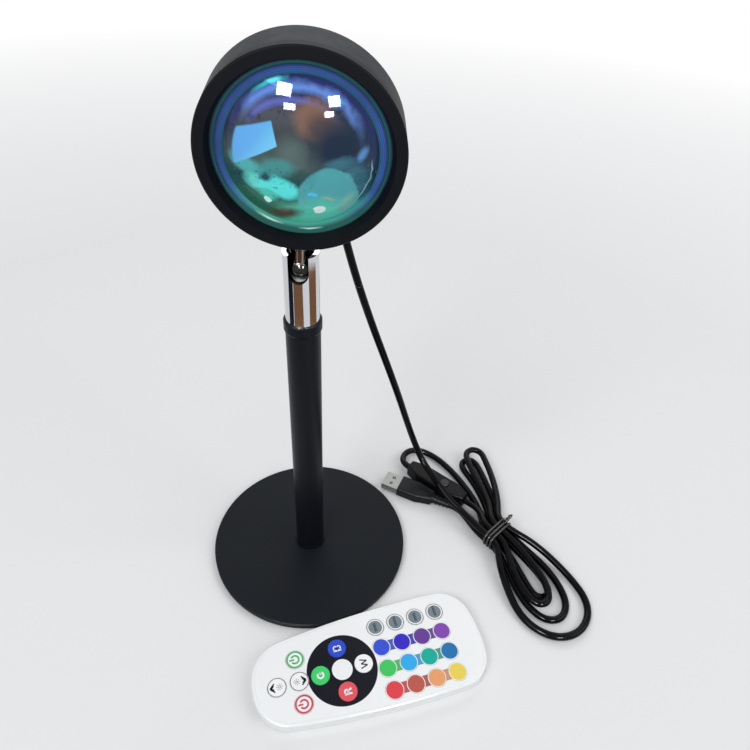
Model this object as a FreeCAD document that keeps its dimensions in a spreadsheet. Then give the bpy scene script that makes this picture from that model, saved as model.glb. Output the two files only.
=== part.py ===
"""Sunset projection lamp on a round stand, with its USB cord and 24-key remote control.

The origin is the centre of the base's underside. +Z is up and -Y is the side that the lens faces.
Lengths are in millimetres and angles in degrees.
"""
import FreeCAD, Part
import math
import os
import re
import Sketcher

V = FreeCAD.Vector
doc = FreeCAD.newDocument("sunset_lamp")

# ---------------------------------------------------------------------------------------------
# Driving dimensions
# ---------------------------------------------------------------------------------------------
SIZES = {
    # stand
    "base_radius": 60.0,
    "base_thickness": 4.0,
    "base_edge_round": 0.8,
    "pad_thickness": 1.0,
    "pad_margin": 2.5,
    "screw_radius": 3.0,
    "screw_head_radius": 5.5,
    "screw_head_height": 2.2,
    "screw_reach": 12.0,
    "pole_radius": 8.45,
    "pole_wall": 1.0,
    "pole_top_level": 172.0,
    "foot_ring_radius": 9.4,
    "foot_ring_height": 1.5,
    "foot_step_height": 1.0,
    "foot_plug_length": 12.0,
    "collar_radius": 9.15,
    "collar_height": 6.3,
    "collar_chamfer": 1.3,
    "collar_recess": 6.0,
    "collar_plug_length": 14.0,
    "fit_gap": 0.05,
    "side_gap": 0.3,
    # swivel
    "collar_rim": 1.05,
    "barrel_top_level": 214.0,
    "barrel_rim_wall": 2.0,
    "lip_hold": 0.35,
    "lip_height": 5.0,
    "spigot_radius": 4.0,
    "rivet_radius": 5.0,
    "rivet_height": 1.5,
    "ball_level": 206.0,
    "ball_radius": 5.3,
    "ball_gap": 0.2,
    "slot_radius": 4.5,
    "slot_azimuth": -11.0,
    "seat_gap": 0.1,
    "seat_height": 8.2,
    "seat_top_drop": 4.8,
    "neck_radius": 3.5,
    "stud_flange_radius": 5.0,
    "stud_flange_height": 1.5,
    "stud_thread_radius": 1.95,
    "stud_thread_length": 9.0,
    # head, in its own frame: +Y is the back of the drum, +Z is away from the stud
    "head_yaw": -4.96,
    "head_nod": 4.25,
    "head_lean": 2.6,
    "drum_radius": 39.66,
    "drum_neck": 14.44,
    "drum_front": 9.4,
    "drum_back": 10.7,
    "drum_wall": 2.2,
    "drum_edge_round": 0.6,
    "boss_width": 14.0,
    "boss_depth": 5.0,
    "boss_height": 10.0,
    "ledge_width": 1.8,
    "ledge_depth": 2.0,
    "ring_depth": 4.4,
    "ring_width": 5.76,
    "ring_chamfer_width": 1.4,
    "ring_chamfer_depth": 3.4,
    "lens_rim_thickness": 2.0,
    "dome_inset": 10.66,
    "dome_height": 8.5,
    "sink_front": 5.2,
    "sink_thickness": 1.8,
    "sink_post_radius": 3.0,
    "board_radius": 10.0,
    "board_thickness": 1.4,
    "led_size": 8.0,
    "led_thickness": 1.6,
    "cover_thickness": 2.0,
    "cover_inset": 0.2,
    "cover_screw_inset": 9.66,
    "cover_screw_radius": 1.5,
    "cover_screw_head": 2.8,
    "cover_screw_height": 1.5,
    "cross_width": 0.7,
    "cross_length": 3.2,
    "cross_depth": 0.9,
    "gland_across": 3.0,
    "gland_drop": 12.0,
    "gland_neck_radius": 3.9,
    "gland_flange_radius": 5.4,
    "gland_flange_height": 1.4,
    "gland_root_radius": 4.3,
    "gland_tip_radius": 2.9,
    "gland_length": 9.0,
    "lead_radius": 0.6,
    "lead_spacing": 2.4,
    "lead_start_gap": 0.1,
    # cord and what is on it
    "cord_radius": 2.2,
    "waist_stand_off": 61.5,
    "waist_back": -7.0,
    "tie_wall": 0.9,
    "tie_width": 7.0,
    "box_stand_off": 29.5,
    "box_back": 37.9,
    "box_heading": -43.8,
    "box_length": 46.0,
    "box_width": 12.0,
    "box_end_width": 6.4,
    "box_taper": 9.0,
    "box_height": 10.0,
    "box_wall": 1.2,
    "box_clear": 0.3,
    "button_radius": 3.2,
    "button_proud": 1.0,
    "button_place": 6.0,
    "button_travel": 0.8,
    "box_board_thickness": 1.4,
    "plug_stand_off": -6.4,
    "plug_back": 45.0,
    "plug_heading": -31.2,
    "plug_thickness": 7.6,
    "plug_length": 24.0,
    "plug_width": 13.6,
    "plug_end_width": 8.0,
    "relief_length": 12.4,
    "relief_radius": 3.5,
    "relief_tip_radius": 2.7,
    "relief_groove": 0.6,
    "shell_width": 12.0,
    "shell_height": 4.5,
    "shell_wall": 0.3,
    "shell_exposed": 12.0,
    "shell_seat": 3.0,
    "window_size": 2.2,
    "window_spread": 2.6,
    "window_place": 6.2,
    "tongue_thickness": 1.8,
    # remote control
    "remote_left_margin": 12.8,
    "remote_right_margin": 21.15,
    "remote_side_margin": 6.0,
    "remote_stand_off": 1.08,
    "remote_azimuth": -69.86,
    "remote_heading": 10.82,
    "remote_taper": 3.15,
    "remote_side_bulge": 3.45,
    "remote_end_bulge": 5.0,
    "remote_round_left": 20.0,
    "remote_round_right": 18.0,
    "remote_height": 7.8,
    "remote_parting": 4.5,
    "remote_wall": 1.5,
    "remote_top_wall": 1.4,
    "remote_edge_round": 1.2,
    "film_thickness": 0.25,
    "film_margin": 2.2,
    "key_pitch": 12.0,
    "key_row_shift": 1.7,
    "key_spacing": 1.0,
    "key_gap": 0.2,
    "key_flange_height": 0.5,
    "key_proud": 0.1,
    "circuit_thickness": 0.8,
    "circuit_level": 4.6,
    "circuit_margin": 11.5,
    "circuit_side": 4.0,
    "circuit_round": 14.0,
    "post_radius": 2.0,
    "post_inset": 9.0,
    "post_left": 33.5,
    "post_right": 19.5,
    "cell_radius": 10.0,
    "cell_thickness": 2.3,
    "tray_width": 23.0,
    "tray_length": 25.0,
    "tray_floor": 0.4,
    "tray_setback": 3.2,
    "tray_gap": 0.1,
    "tray_height": 3.0,
}

sheet = doc.addObject("Spreadsheet::Sheet", "sizes")
for row, (alias, amount) in enumerate(SIZES.items(), start=1):
    sheet.set(f"A{row}", alias)
    sheet.set(f"B{row}", str(amount))
    sheet.setAlias(f"B{row}", alias)
doc.recompute()


def rule(text):
    """Points the size names in a rule at the sheet."""
    return re.sub(r"[a-z_]+", lambda word: f"sizes.{word[0]}" if word[0] in SIZES else word[0], str(text))


def value(text):
    """The number that a rule gives."""
    return float(sheet.evalExpression(rule(text)))


# ---------------------------------------------------------------------------------------------
# Sketches and features
# ---------------------------------------------------------------------------------------------
def new_body(name):
    body = doc.addObject("PartDesign::Body", name)
    body.Label = name
    return body


def new_sketch(body, role, level="0"):
    """A sketch on one of the body's own planes, lifted along the plane's normal by a rule."""
    sketch = body.newObject("Sketcher::SketchObject", f"{body.Name}_sketch")
    plane = next(item for item in body.Origin.OriginFeatures if item.Role == role)
    sketch.AttachmentSupport = (plane, [""])
    sketch.MapMode = "FlatFace"
    if level != "0":
        sketch.setExpression("AttachmentOffset.Base.z", rule(level))
    return sketch


def tie_point(sketch, edge, end, across, up):
    """Ties a point of a sketch to the two rules that place it."""
    for kind, text, axis in (("DistanceX", across, -2), ("DistanceY", up, -1)):
        if text == "0":
            sketch.addConstraint(Sketcher.Constraint("PointOnObject", edge, end, axis))
        else:
            number = sketch.addConstraint(Sketcher.Constraint(kind, -1, 1, edge, end, value(text)))
            sketch.setExpression(f"Constraints[{number}]", rule(text))


def draw(sketch, corners):
    """Draws a closed outline. A corner is (across, up), or (across, up, radius, turn) where an arc
    of that radius leaves it, turning left with turn 1 and right with turn -1."""
    spots = [V(value(corner[0]), value(corner[1]), 0) for corner in corners]
    ends = []
    for index, corner in enumerate(corners):
        start, stop = spots[index], spots[(index + 1) % len(spots)]
        if len(corner) == 2:
            edge = sketch.addGeometry(Part.LineSegment(start, stop), False)
            ends.append((edge, 1, 2))
            continue
        radius, turn = value(corner[2]), corner[3]
        chord = stop - start
        rise = math.sqrt(max(radius ** 2 - (chord.Length / 2) ** 2, 0.0))
        side = V(-chord.y, chord.x, 0).normalize() * (rise * turn)
        centre = (start + stop) * 0.5 + side
        angles = [math.atan2(spot.y - centre.y, spot.x - centre.x) for spot in (start, stop)]
        first, last = angles if turn > 0 else reversed(angles)
        circle = Part.Circle(centre, V(0, 0, 1), radius)
        edge = sketch.addGeometry(Part.ArcOfCircle(circle, first, last), False)
        ends.append((edge, 1, 2) if turn > 0 else (edge, 2, 1))
    for index, corner in enumerate(corners):
        edge, head, tail = ends[index]
        following = ends[(index + 1) % len(ends)]
        sketch.addConstraint(Sketcher.Constraint("Coincident", edge, tail, following[0], following[1]))
        tie_point(sketch, edge, head, corner[0], corner[1])
    for index, corner in enumerate(corners):
        if len(corner) > 2:
            number = sketch.addConstraint(Sketcher.Constraint("Radius", ends[index][0], value(corner[2])))
            sketch.setExpression(f"Constraints[{number}]", rule(corner[2]))


def draw_circles(sketch, centres, radius):
    """Draws circles of one radius at (across, up) rules."""
    for across, up in centres:
        centre = V(value(across), value(up), 0)
        circle = sketch.addGeometry(Part.Circle(centre, V(0, 0, 1), value(radius)), False)
        tie_point(sketch, circle, 3, across, up)
        number = sketch.addConstraint(Sketcher.Constraint("Radius", circle, value(radius)))
        sketch.setExpression(f"Constraints[{number}]", rule(radius))


def revolve(body, role, corners):
    """Turns an outline about the vertical line of its sketch."""
    sketch = new_sketch(body, role)
    draw(sketch, corners)
    spin = body.newObject("PartDesign::Revolution", f"{body.Name}_turned")
    spin.Profile = sketch
    spin.ReferenceAxis = (sketch, ["V_Axis"])
    spin.Angle = 360.0
    doc.recompute()
    return spin


def pad(body, sketch, length):
    feature = body.newObject("PartDesign::Pad", f"{body.Name}_pad")
    feature.Profile = sketch
    feature.setExpression("Length", rule(length))
    doc.recompute()
    return feature


def pocket(body, sketch, length):
    """Cuts a sketch out of a body, on whichever side of its plane the material lies."""
    before = body.Shape.Volume
    feature = body.newObject("PartDesign::Pocket", f"{body.Name}_pocket")
    feature.Profile = sketch
    feature.setExpression("Length", rule(length))
    doc.recompute()
    if not feature.isValid() or body.Shape.Volume > before - 1e-6:
        feature.Reversed = True
        doc.recompute()
    if body.Shape.Volume > before - 1e-6:
        raise RuntimeError(f"{body.Name}: a pocket cuts nothing")
    return feature


def plate(name, corners, low, thickness):
    """A body padded up from a level."""
    body = new_body(name)
    sketch = new_sketch(body, "XY_Plane", low)
    draw(sketch, corners)
    pad(body, sketch, thickness)
    return body


def rectangle(half_length, half_width, middle="0"):
    """The corners of a rectangle about a point on the X axis."""
    left, right = f"{middle} - ({half_length})", f"{middle} + ({half_length})"
    low, high = f"-({half_width})", half_width
    return [(left, low), (right, low), (right, high), (left, high)]


def rounded(half_wide, low, high, radius):
    """The corners of a rectangle between two heights, with its four corners rounded."""
    left, right = f"-({half_wide})", half_wide
    inner_left, inner_right = f"-({half_wide}) + {radius}", f"{half_wide} - ({radius})"
    inner_low, inner_high = f"{low} + {radius}", f"{high} - ({radius})"
    return [
        (inner_left, low), (inner_right, low, radius, 1), (right, inner_low), (right, inner_high, radius, 1),
        (inner_right, high), (inner_left, high, radius, 1), (left, inner_high), (left, inner_low, radius, 1),
    ]


def edges_where(shape, test):
    """Names of the edges of a shape that pass a test."""
    return [f"Edge{number}" for number, edge in enumerate(shape.Edges, start=1) if test(edge)]


def dress(body, kind, edges, amount):
    """Rounds (Fillet) or bevels (Chamfer) edges of a body's last feature."""
    last = body.Tip
    feature = body.newObject(f"PartDesign::{kind}", f"{body.Name}_{kind.lower()}")
    feature.Base = (last, edges)
    feature.setExpression("Radius" if kind == "Fillet" else "Size", rule(amount))
    doc.recompute()
    return feature


def upright(edge):
    """Tells a straight edge that runs along Z."""
    if len(edge.Vertexes) < 2 or edge.Curve.TypeId != "Part::GeomLine":
        return False
    run = edge.Vertexes[1].Point - edge.Vertexes[0].Point
    return abs(run.x) < 1e-6 and abs(run.y) < 1e-6


def at_level(level):
    """A test for edges that lie wholly at a height."""
    return lambda edge: abs(edge.BoundBox.ZMin - level) < 1e-5 and abs(edge.BoundBox.ZMax - level) < 1e-5


def place(item, base, rotation=FreeCAD.Rotation()):
    item.Placement = FreeCAD.Placement(base, rotation)


# ---------------------------------------------------------------------------------------------
# Stand
# ---------------------------------------------------------------------------------------------
def make_stand():
    deck = "pad_thickness + base_thickness"
    head_top = "pad_thickness + side_gap + screw_head_height"

    base = new_body("base_plate")
    revolve(base, "XZ_Plane", [
        ("screw_radius + side_gap", head_top),
        ("screw_head_radius + side_gap", head_top),
        ("screw_head_radius + side_gap", "pad_thickness"),
        ("base_radius - base_edge_round", "pad_thickness"),
        ("base_radius", "pad_thickness + base_edge_round", ),
        ("base_radius", f"{deck} - base_edge_round"),
        ("base_radius - base_edge_round", deck),
        ("screw_radius + side_gap", deck),
    ])

    pad_body = new_body("base_foot_pad")
    revolve(pad_body, "XZ_Plane", [
        ("0", "0"),
        ("base_radius - pad_margin", "0"),
        ("base_radius - pad_margin", "pad_thickness"),
        ("0", "pad_thickness"),
    ])

    screw = new_body("base_screw")
    revolve(screw, "XZ_Plane", [
        ("0", "pad_thickness + side_gap"),
        ("screw_head_radius", "pad_thickness + side_gap"),
        ("screw_head_radius", head_top),
        ("screw_radius", head_top),
        ("screw_radius", f"{deck} + screw_reach"),
        ("0", f"{deck} + screw_reach"),
    ])

    bore = "pole_radius - pole_wall"
    tube_foot = f"{deck} + foot_ring_height + foot_step_height"
    foot = new_body("pole_foot")
    revolve(foot, "XZ_Plane", [
        ("screw_radius + fit_gap", deck),
        ("foot_ring_radius", deck),
        ("foot_ring_radius", f"{deck} + foot_ring_height"),
        ("(foot_ring_radius + pole_radius) / 2", f"{deck} + foot_ring_height"),
        ("(foot_ring_radius + pole_radius) / 2", tube_foot),
        (f"{bore} - fit_gap", tube_foot),
        (f"{bore} - fit_gap", f"{tube_foot} + foot_plug_length"),
        ("screw_radius + fit_gap", f"{tube_foot} + foot_plug_length"),
    ])

    pole = new_body("pole_tube")
    revolve(pole, "XZ_Plane", [
        (bore, tube_foot),
        ("pole_radius", tube_foot),
        ("pole_radius", "pole_top_level"),
        (bore, "pole_top_level"),
    ])

    collar = new_body("pole_collar")
    revolve(collar, "XZ_Plane", [
        ("spigot_radius + fit_gap", "pole_top_level - collar_plug_length"),
        (f"{bore} - fit_gap", "pole_top_level - collar_plug_length"),
        (f"{bore} - fit_gap", "pole_top_level"),
        ("pole_radius", "pole_top_level"),
        ("collar_radius", "pole_top_level + collar_chamfer"),
        ("collar_radius", "pole_top_level + collar_height - 0.3"),
        ("collar_radius - 0.3", "pole_top_level + collar_height"),
        ("collar_radius - collar_rim + fit_gap", "pole_top_level + collar_height"),
        ("collar_radius - collar_rim + fit_gap", "pole_top_level + collar_height - collar_recess"),
        ("spigot_radius + fit_gap", "pole_top_level + collar_height - collar_recess"),
    ])
    return [base, pad_body, screw, foot, pole, collar]


# ---------------------------------------------------------------------------------------------
# Swivel
# ---------------------------------------------------------------------------------------------
def make_swivel():
    recess_floor = "pole_top_level + collar_height - collar_recess"
    plug_end = "pole_top_level - collar_plug_length"
    outside = "(collar_radius - collar_rim)"
    bore = "(ball_radius + ball_gap)"
    lip = "(ball_radius - lip_hold)"
    seat_floor = "ball_level - seat_top_drop - seat_height"
    slot_turn = FreeCAD.Rotation(V(0, 0, 1), value("slot_azimuth"))

    barrel = new_body("swivel_barrel")
    revolve(barrel, "XZ_Plane", [
        ("0", f"{plug_end} - side_gap - rivet_height"),
        ("rivet_radius", f"{plug_end} - side_gap - rivet_height"),
        ("rivet_radius", f"{plug_end} - side_gap"),
        ("spigot_radius", f"{plug_end} - side_gap"),
        ("spigot_radius", f"{recess_floor} + side_gap"),
        (outside, f"{recess_floor} + side_gap"),
        (outside, "barrel_top_level"),
        (f"{outside} - barrel_rim_wall", "barrel_top_level"),
        (lip, "ball_level + lip_height"),
        (lip, f"ball_level + sqrt({bore}^2 - {lip}^2)", bore, -1),
        (bore, "ball_level"),
        (bore, seat_floor),
        ("0", seat_floor),
    ])
    slot = new_sketch(barrel, "XZ_Plane")
    above = "barrel_top_level + 1"
    draw(slot, [
        ("-slot_radius", above),
        ("-slot_radius", "ball_level", "slot_radius", 1),
        ("0", "ball_level - slot_radius", "slot_radius", 1),
        ("slot_radius", "ball_level"),
        ("slot_radius", above),
    ])
    whole = barrel.Shape.copy()
    cut = pocket(barrel, slot, f"{outside} + 1")
    doc.recompute()
    if whole.cut(barrel.Shape).BoundBox.Center.y > 0:
        cut.Reversed = not cut.Reversed
        doc.recompute()
    place(barrel, V(), slot_turn)

    seat = new_body("ball_seat")
    dish = "ball_radius + seat_gap"
    revolve(seat, "XZ_Plane", [
        ("0", seat_floor),
        (f"{bore} - fit_gap", seat_floor),
        (f"{bore} - fit_gap", "ball_level - seat_top_drop"),
        (f"sqrt(({dish})^2 - seat_top_drop^2)", "ball_level - seat_top_drop", dish, -1),
        ("0", f"ball_level - ({dish})"),
    ])

    stud = new_body("ball_stud")
    flange_top = "drum_neck"
    revolve(stud, "XZ_Plane", [
        ("0", "-ball_radius", "ball_radius", 1),
        ("neck_radius", "sqrt(ball_radius^2 - neck_radius^2)"),
        ("neck_radius", f"{flange_top} - stud_flange_height"),
        ("stud_flange_radius", f"{flange_top} - stud_flange_height"),
        ("stud_flange_radius", flange_top),
        ("stud_thread_radius", flange_top),
        ("stud_thread_radius", f"{flange_top} + stud_thread_length"),
        ("0", f"{flange_top} + stud_thread_length"),
    ])
    place(stud, V(0, 0, value("ball_level")), head_turn())
    return [barrel, seat, stud]


# ---------------------------------------------------------------------------------------------
# Head
# ---------------------------------------------------------------------------------------------
def head_turn():
    """How the head stands: turned to the left, nodding and leaning a little."""
    turn = FreeCAD.Rotation(V(0, 0, 1), value("head_yaw"))
    turn = turn.multiply(FreeCAD.Rotation(V(1, 0, 0), value("head_nod")))
    return turn.multiply(FreeCAD.Rotation(V(0, 1, 0), value("head_lean")))


def head_point(across, back, up):
    """A point of the head's frame, whose origin is the drum's centre, in the lamp's frame."""
    centre = V(0, 0, value("ball_level")) + head_turn().multVec(V(0, 0, value("drum_neck + drum_radius")))
    return centre + head_turn().multVec(V(across, back, up))


def make_head():
    inner = "drum_radius - drum_wall"
    ring_back = "-drum_front + ring_depth"
    opening = "(drum_radius - ring_width)"
    dome = "(drum_radius - dome_inset)"
    screw_reach = "(drum_radius - cover_screw_inset)"
    screw_spots = [
        (f"{screw_reach} * cos({angle})", f"{screw_reach} * sin({angle})")
        for angle in (90, 210, 330)
    ]
    gland_spot = [("gland_across", "-gland_drop")]
    cover_back = "drum_back - cover_inset"
    cover_front = f"{cover_back} - cover_thickness"

    housing = new_body("head_housing")
    ledge_front = "sink_front - ledge_depth"
    revolve(housing, "XY_Plane", [
        ("drum_radius", ring_back),
        ("drum_radius", "drum_back - drum_edge_round"),
        ("drum_radius - drum_edge_round", "drum_back"),
        (inner, "drum_back"),
        (inner, "sink_front"),
        (f"{inner} - ledge_width", "sink_front"),
        (f"{inner} - ledge_width", ledge_front),
        (inner, ledge_front),
        (inner, ring_back),
    ])
    boss = new_sketch(housing, "XY_Plane", f"-({inner}) - drum_wall / 2")
    half_boss = "boss_width / 2"
    draw(boss, [
        (f"-{half_boss}", f"{ring_back} + lens_rim_thickness + side_gap"),
        (half_boss, f"{ring_back} + lens_rim_thickness + side_gap"),
        (half_boss, "boss_depth"),
        (f"-{half_boss}", "boss_depth"),
    ])
    pad(housing, boss, "boss_height + drum_wall / 2")
    thread = new_sketch(housing, "XY_Plane", "-drum_radius - 1")
    draw_circles(thread, [("0", "0")], "stud_thread_radius + fit_gap")
    pocket(housing, thread, "boss_height + drum_wall + 3")

    ring = new_body("front_ring")
    revolve(ring, "XY_Plane", [
        (opening, ring_back),
        (opening, "-drum_front + ring_chamfer_depth"),
        (f"{opening} + ring_chamfer_width", "-drum_front"),
        ("drum_radius - drum_edge_round", "-drum_front"),
        ("drum_radius", "-drum_front + drum_edge_round"),
        ("drum_radius", ring_back),
    ])

    lens = new_body("lens")
    revolve(lens, "XY_Plane", [
        ("0", f"{ring_back} + lens_rim_thickness"),
        ("0", f"{ring_back} - dome_height", f"({dome}^2 + dome_height^2) / (2 * dome_height)", 1),
        (dome, ring_back),
        (f"{inner} - side_gap", ring_back),
        (f"{inner} - side_gap", f"{ring_back} + lens_rim_thickness"),
    ])

    sink = new_body("heat_sink")
    sink_back = "sink_front + sink_thickness"
    revolve(sink, "XY_Plane", [
        ("0", "sink_front"),
        (f"{inner} - side_gap", "sink_front"),
        (f"{inner} - side_gap", sink_back),
        ("0", sink_back),
    ])
    posts = new_sketch(sink, "XZ_Plane", f"-({sink_back} - sink_thickness / 2)")
    draw_circles(posts, screw_spots, "sink_post_radius")
    post_pad = pad(sink, posts, f"{cover_front} - sink_front - sink_thickness / 2")
    if sink.Shape.BoundBox.YMax < value(cover_front) - 0.01:
        post_pad.Reversed = True
        doc.recompute()
    holes = new_sketch(sink, "XZ_Plane", f"-({cover_front} + 1)")
    draw_circles(holes, screw_spots, "cover_screw_radius + fit_gap")
    pocket(sink, holes, f"{cover_front} - sink_front + 2")
    way = new_sketch(sink, "XZ_Plane", f"-({sink_back} + 1)")
    draw_circles(way, gland_spot, "lead_spacing / 2 + lead_radius + side_gap")
    pocket(sink, way, "sink_thickness + 2")

    board = new_body("led_board")
    board_front = "sink_front - board_thickness"
    revolve(board, "XY_Plane", [
        ("0", board_front),
        ("board_radius", board_front),
        ("board_radius", "sink_front"),
        ("0", "sink_front"),
    ])

    led = new_body("led_package")
    led_face = new_sketch(led, "XZ_Plane", f"-({board_front})")
    draw(led_face, rectangle("led_size / 2", "led_size / 2"))
    pad(led, led_face, "led_thickness")

    cover = new_body("rear_cover")
    revolve(cover, "XY_Plane", [
        ("0", cover_front),
        (f"{inner} - side_gap", cover_front),
        (f"{inner} - side_gap", cover_back),
        ("0", cover_back),
    ])
    cover_holes = new_sketch(cover, "XZ_Plane", f"-({cover_back} + 1)")
    draw_circles(cover_holes, screw_spots, "cover_screw_radius + fit_gap")
    draw_circles(cover_holes, gland_spot, "gland_neck_radius + fit_gap")
    pocket(cover, cover_holes, "cover_thickness + 2")

    screws = make_cover_screws(screw_spots, cover_back)

    gland = new_body("cord_gland")
    neck_front = f"{cover_front} - side_gap"
    flange_top = f"{cover_back} + gland_flange_height"
    revolve(gland, "XY_Plane", [
        ("0", neck_front),
        ("gland_neck_radius", neck_front),
        ("gland_neck_radius", cover_back),
        ("gland_flange_radius", cover_back),
        ("gland_flange_radius", flange_top),
        ("gland_root_radius", flange_top),
        ("gland_tip_radius", f"{flange_top} + gland_length"),
        ("0", f"{flange_top} + gland_length"),
    ])

    centre = head_point(0, 0, 0)
    pieces = [housing, ring, lens, sink, board, led, cover, screws]
    for piece in pieces:
        place(piece, centre, head_turn())
    place(gland, head_point(value("gland_across"), 0, -value("gland_drop")), head_turn())

    leads = make_leads(neck_front, board_front)
    return pieces + [gland, leads]


def make_cover_screws(spots, cover_back):
    """The rear cover's screws, as one node of separate solids."""
    solids = []
    head_low, head_high = value(cover_back), value(f"{cover_back} + cover_screw_height")
    tip = value("sink_front")
    wide, long, deep = value("cross_width"), value("cross_length"), value("cross_depth")
    for across, up in spots:
        foot = V(value(across), tip, value(up))
        shank = Part.makeCylinder(value("cover_screw_radius"), head_low - tip, foot, V(0, 1, 0))
        base = V(value(across), head_low, value(up))
        head = Part.makeCylinder(value("cover_screw_head"), head_high - head_low, base, V(0, 1, 0))
        rim = edges_where(head, lambda edge: abs(edge.BoundBox.YMin - head_high) < 1e-5)
        head = head.makeFillet(0.5, [head.Edges[int(name[4:]) - 1] for name in rim])
        screw = shank.fuse(head).removeSplitter()
        for size_x, size_z in ((wide, long), (long, wide)):
            corner = V(value(across) - size_x / 2, head_high - deep, value(up) - size_z / 2)
            screw = screw.cut(Part.makeBox(size_x, deep + 1, size_z, corner))
        solids.append(screw.Solids[0])
    screws = doc.addObject("Part::Feature", "rear_screws")
    screws.Label = "rear_screws"
    screws.Shape = Part.makeCompound(solids)
    return screws


def make_leads(neck_front, board_front):
    """Two wires from the gland through the heat sink to the pads at the board's lower edge."""
    solids = []
    behind, front = value(f"{neck_front} - lead_start_gap"), value(board_front)
    radius = value("lead_radius")
    low = -value("gland_drop")
    pad_height = -value("board_radius") + 2 * radius + 0.4
    for side in (-1, 1):
        across = value("gland_across") + side * value("lead_spacing") / 2
        loop = front - 4 * radius
        route = [(across, behind, low), (across, loop, low - 1.5), (across, loop, pad_height),
                 (across, front, pad_height)]
        points = [head_point(*spot) for spot in route]
        solids.append(tube(points, radius)[0])
    leads = doc.addObject("Part::Feature", "led_leads")
    leads.Label = "led_leads"
    leads.Shape = Part.makeCompound(solids)
    return leads


# ---------------------------------------------------------------------------------------------
# Cord
# ---------------------------------------------------------------------------------------------
ARC_SHARE = 0.45


def tube(points, radius):
    """A round tube along straight runs joined by tangent arcs: the solid, its arcs' radii and length."""
    edges, radii = [], []
    start = points[0]
    for before, here, after in zip(points, points[1:], points[2:]):
        into, out = here - before, after - here
        shorter = min(into.Length, out.Length)
        into.normalize()
        out.normalize()
        turn = math.acos(max(-1.0, min(1.0, into.dot(out))))
        reach = ARC_SHARE * shorter
        arc_radius = reach / math.tan(turn / 2)
        first, last = here - into * reach, here + out * reach
        inward = (out - into).normalize()
        middle = here + inward * (arc_radius / math.cos(turn / 2) - arc_radius)
        edges.append(Part.LineSegment(start, first).toShape())
        edges.append(Part.Arc(first, middle, last).toShape())
        radii.append(arc_radius)
        start = last
    edges.append(Part.LineSegment(start, points[-1]).toShape())
    path = Part.Wire(edges)
    ring = Part.Wire(Part.Circle(points[0], points[1] - points[0], radius).toShape())
    solid = path.makePipeShell([ring], True, False)
    solid = solid.Solids[0]
    return solid, radii, path


def cord_piece(name, points):
    """A stretch of cord, with its bends and its least gap to itself reported."""
    radius = value("cord_radius")
    solid, radii, path = tube(points, radius)
    piece = doc.addObject("Part::Feature", name)
    piece.Label = name
    piece.Shape = solid
    ideal = math.pi * radius ** 2 * path.Length
    if abs(solid.Volume / ideal - 1) > 0.01:
        raise RuntimeError(f"{name}: volume {solid.Volume:.1f} is not section times length {ideal:.1f}")
    spots = path.discretize(Distance=1.0)
    apart = int(4 * math.pi * radius)
    least = min((a.distanceToPoint(b) for i, a in enumerate(spots) for b in spots[i + apart:]), default=99)
    print(f"{name}: length {path.Length:.1f}, least radius {min(radii):.1f}, "
          f"radii {[round(item, 1) for item in radii]}, gap to itself {least - 2 * radius:.2f}")
    return piece


# The hank is drawn in at a waist, where its strands cross the tie in two layers of four.
WAIST = V(value("base_radius + waist_stand_off"), value("waist_back"), 0)
WAIST_RUN = V(0.59, -0.807, 0)
WAIST_ACROSS = V(0.807, 0.59, 0)
WAIST_HALF = 6.0
STRAND_STEP = 5.0
FOLD_STAGGER = 1.5
LOWER_LAYER, UPPER_LAYER = 3.7, 8.7


def strand(place_number, layer, way):
    """The two points where a strand enters and leaves the waist. Places run 0 to 3 across it, and
    way is 1 for a strand that runs to the big loops and -1 for one that comes back."""
    middle = WAIST + WAIST_ACROSS * (STRAND_STEP * (place_number - 1.5)) + V(0, 0, layer)
    fold_side = middle - WAIST_RUN * (WAIST_HALF + FOLD_STAGGER * (3 - place_number))
    loop_side = middle + WAIST_RUN * WAIST_HALF
    return [fold_side, loop_side] if way > 0 else [loop_side, fold_side]


def route(*spots):
    return [V(*spot) for spot in spots]


def lie(*spots):
    """Spots whose first number is measured from the base's rim."""
    return [V(value("base_radius") + across, back, up) for across, back, up in spots]


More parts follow.
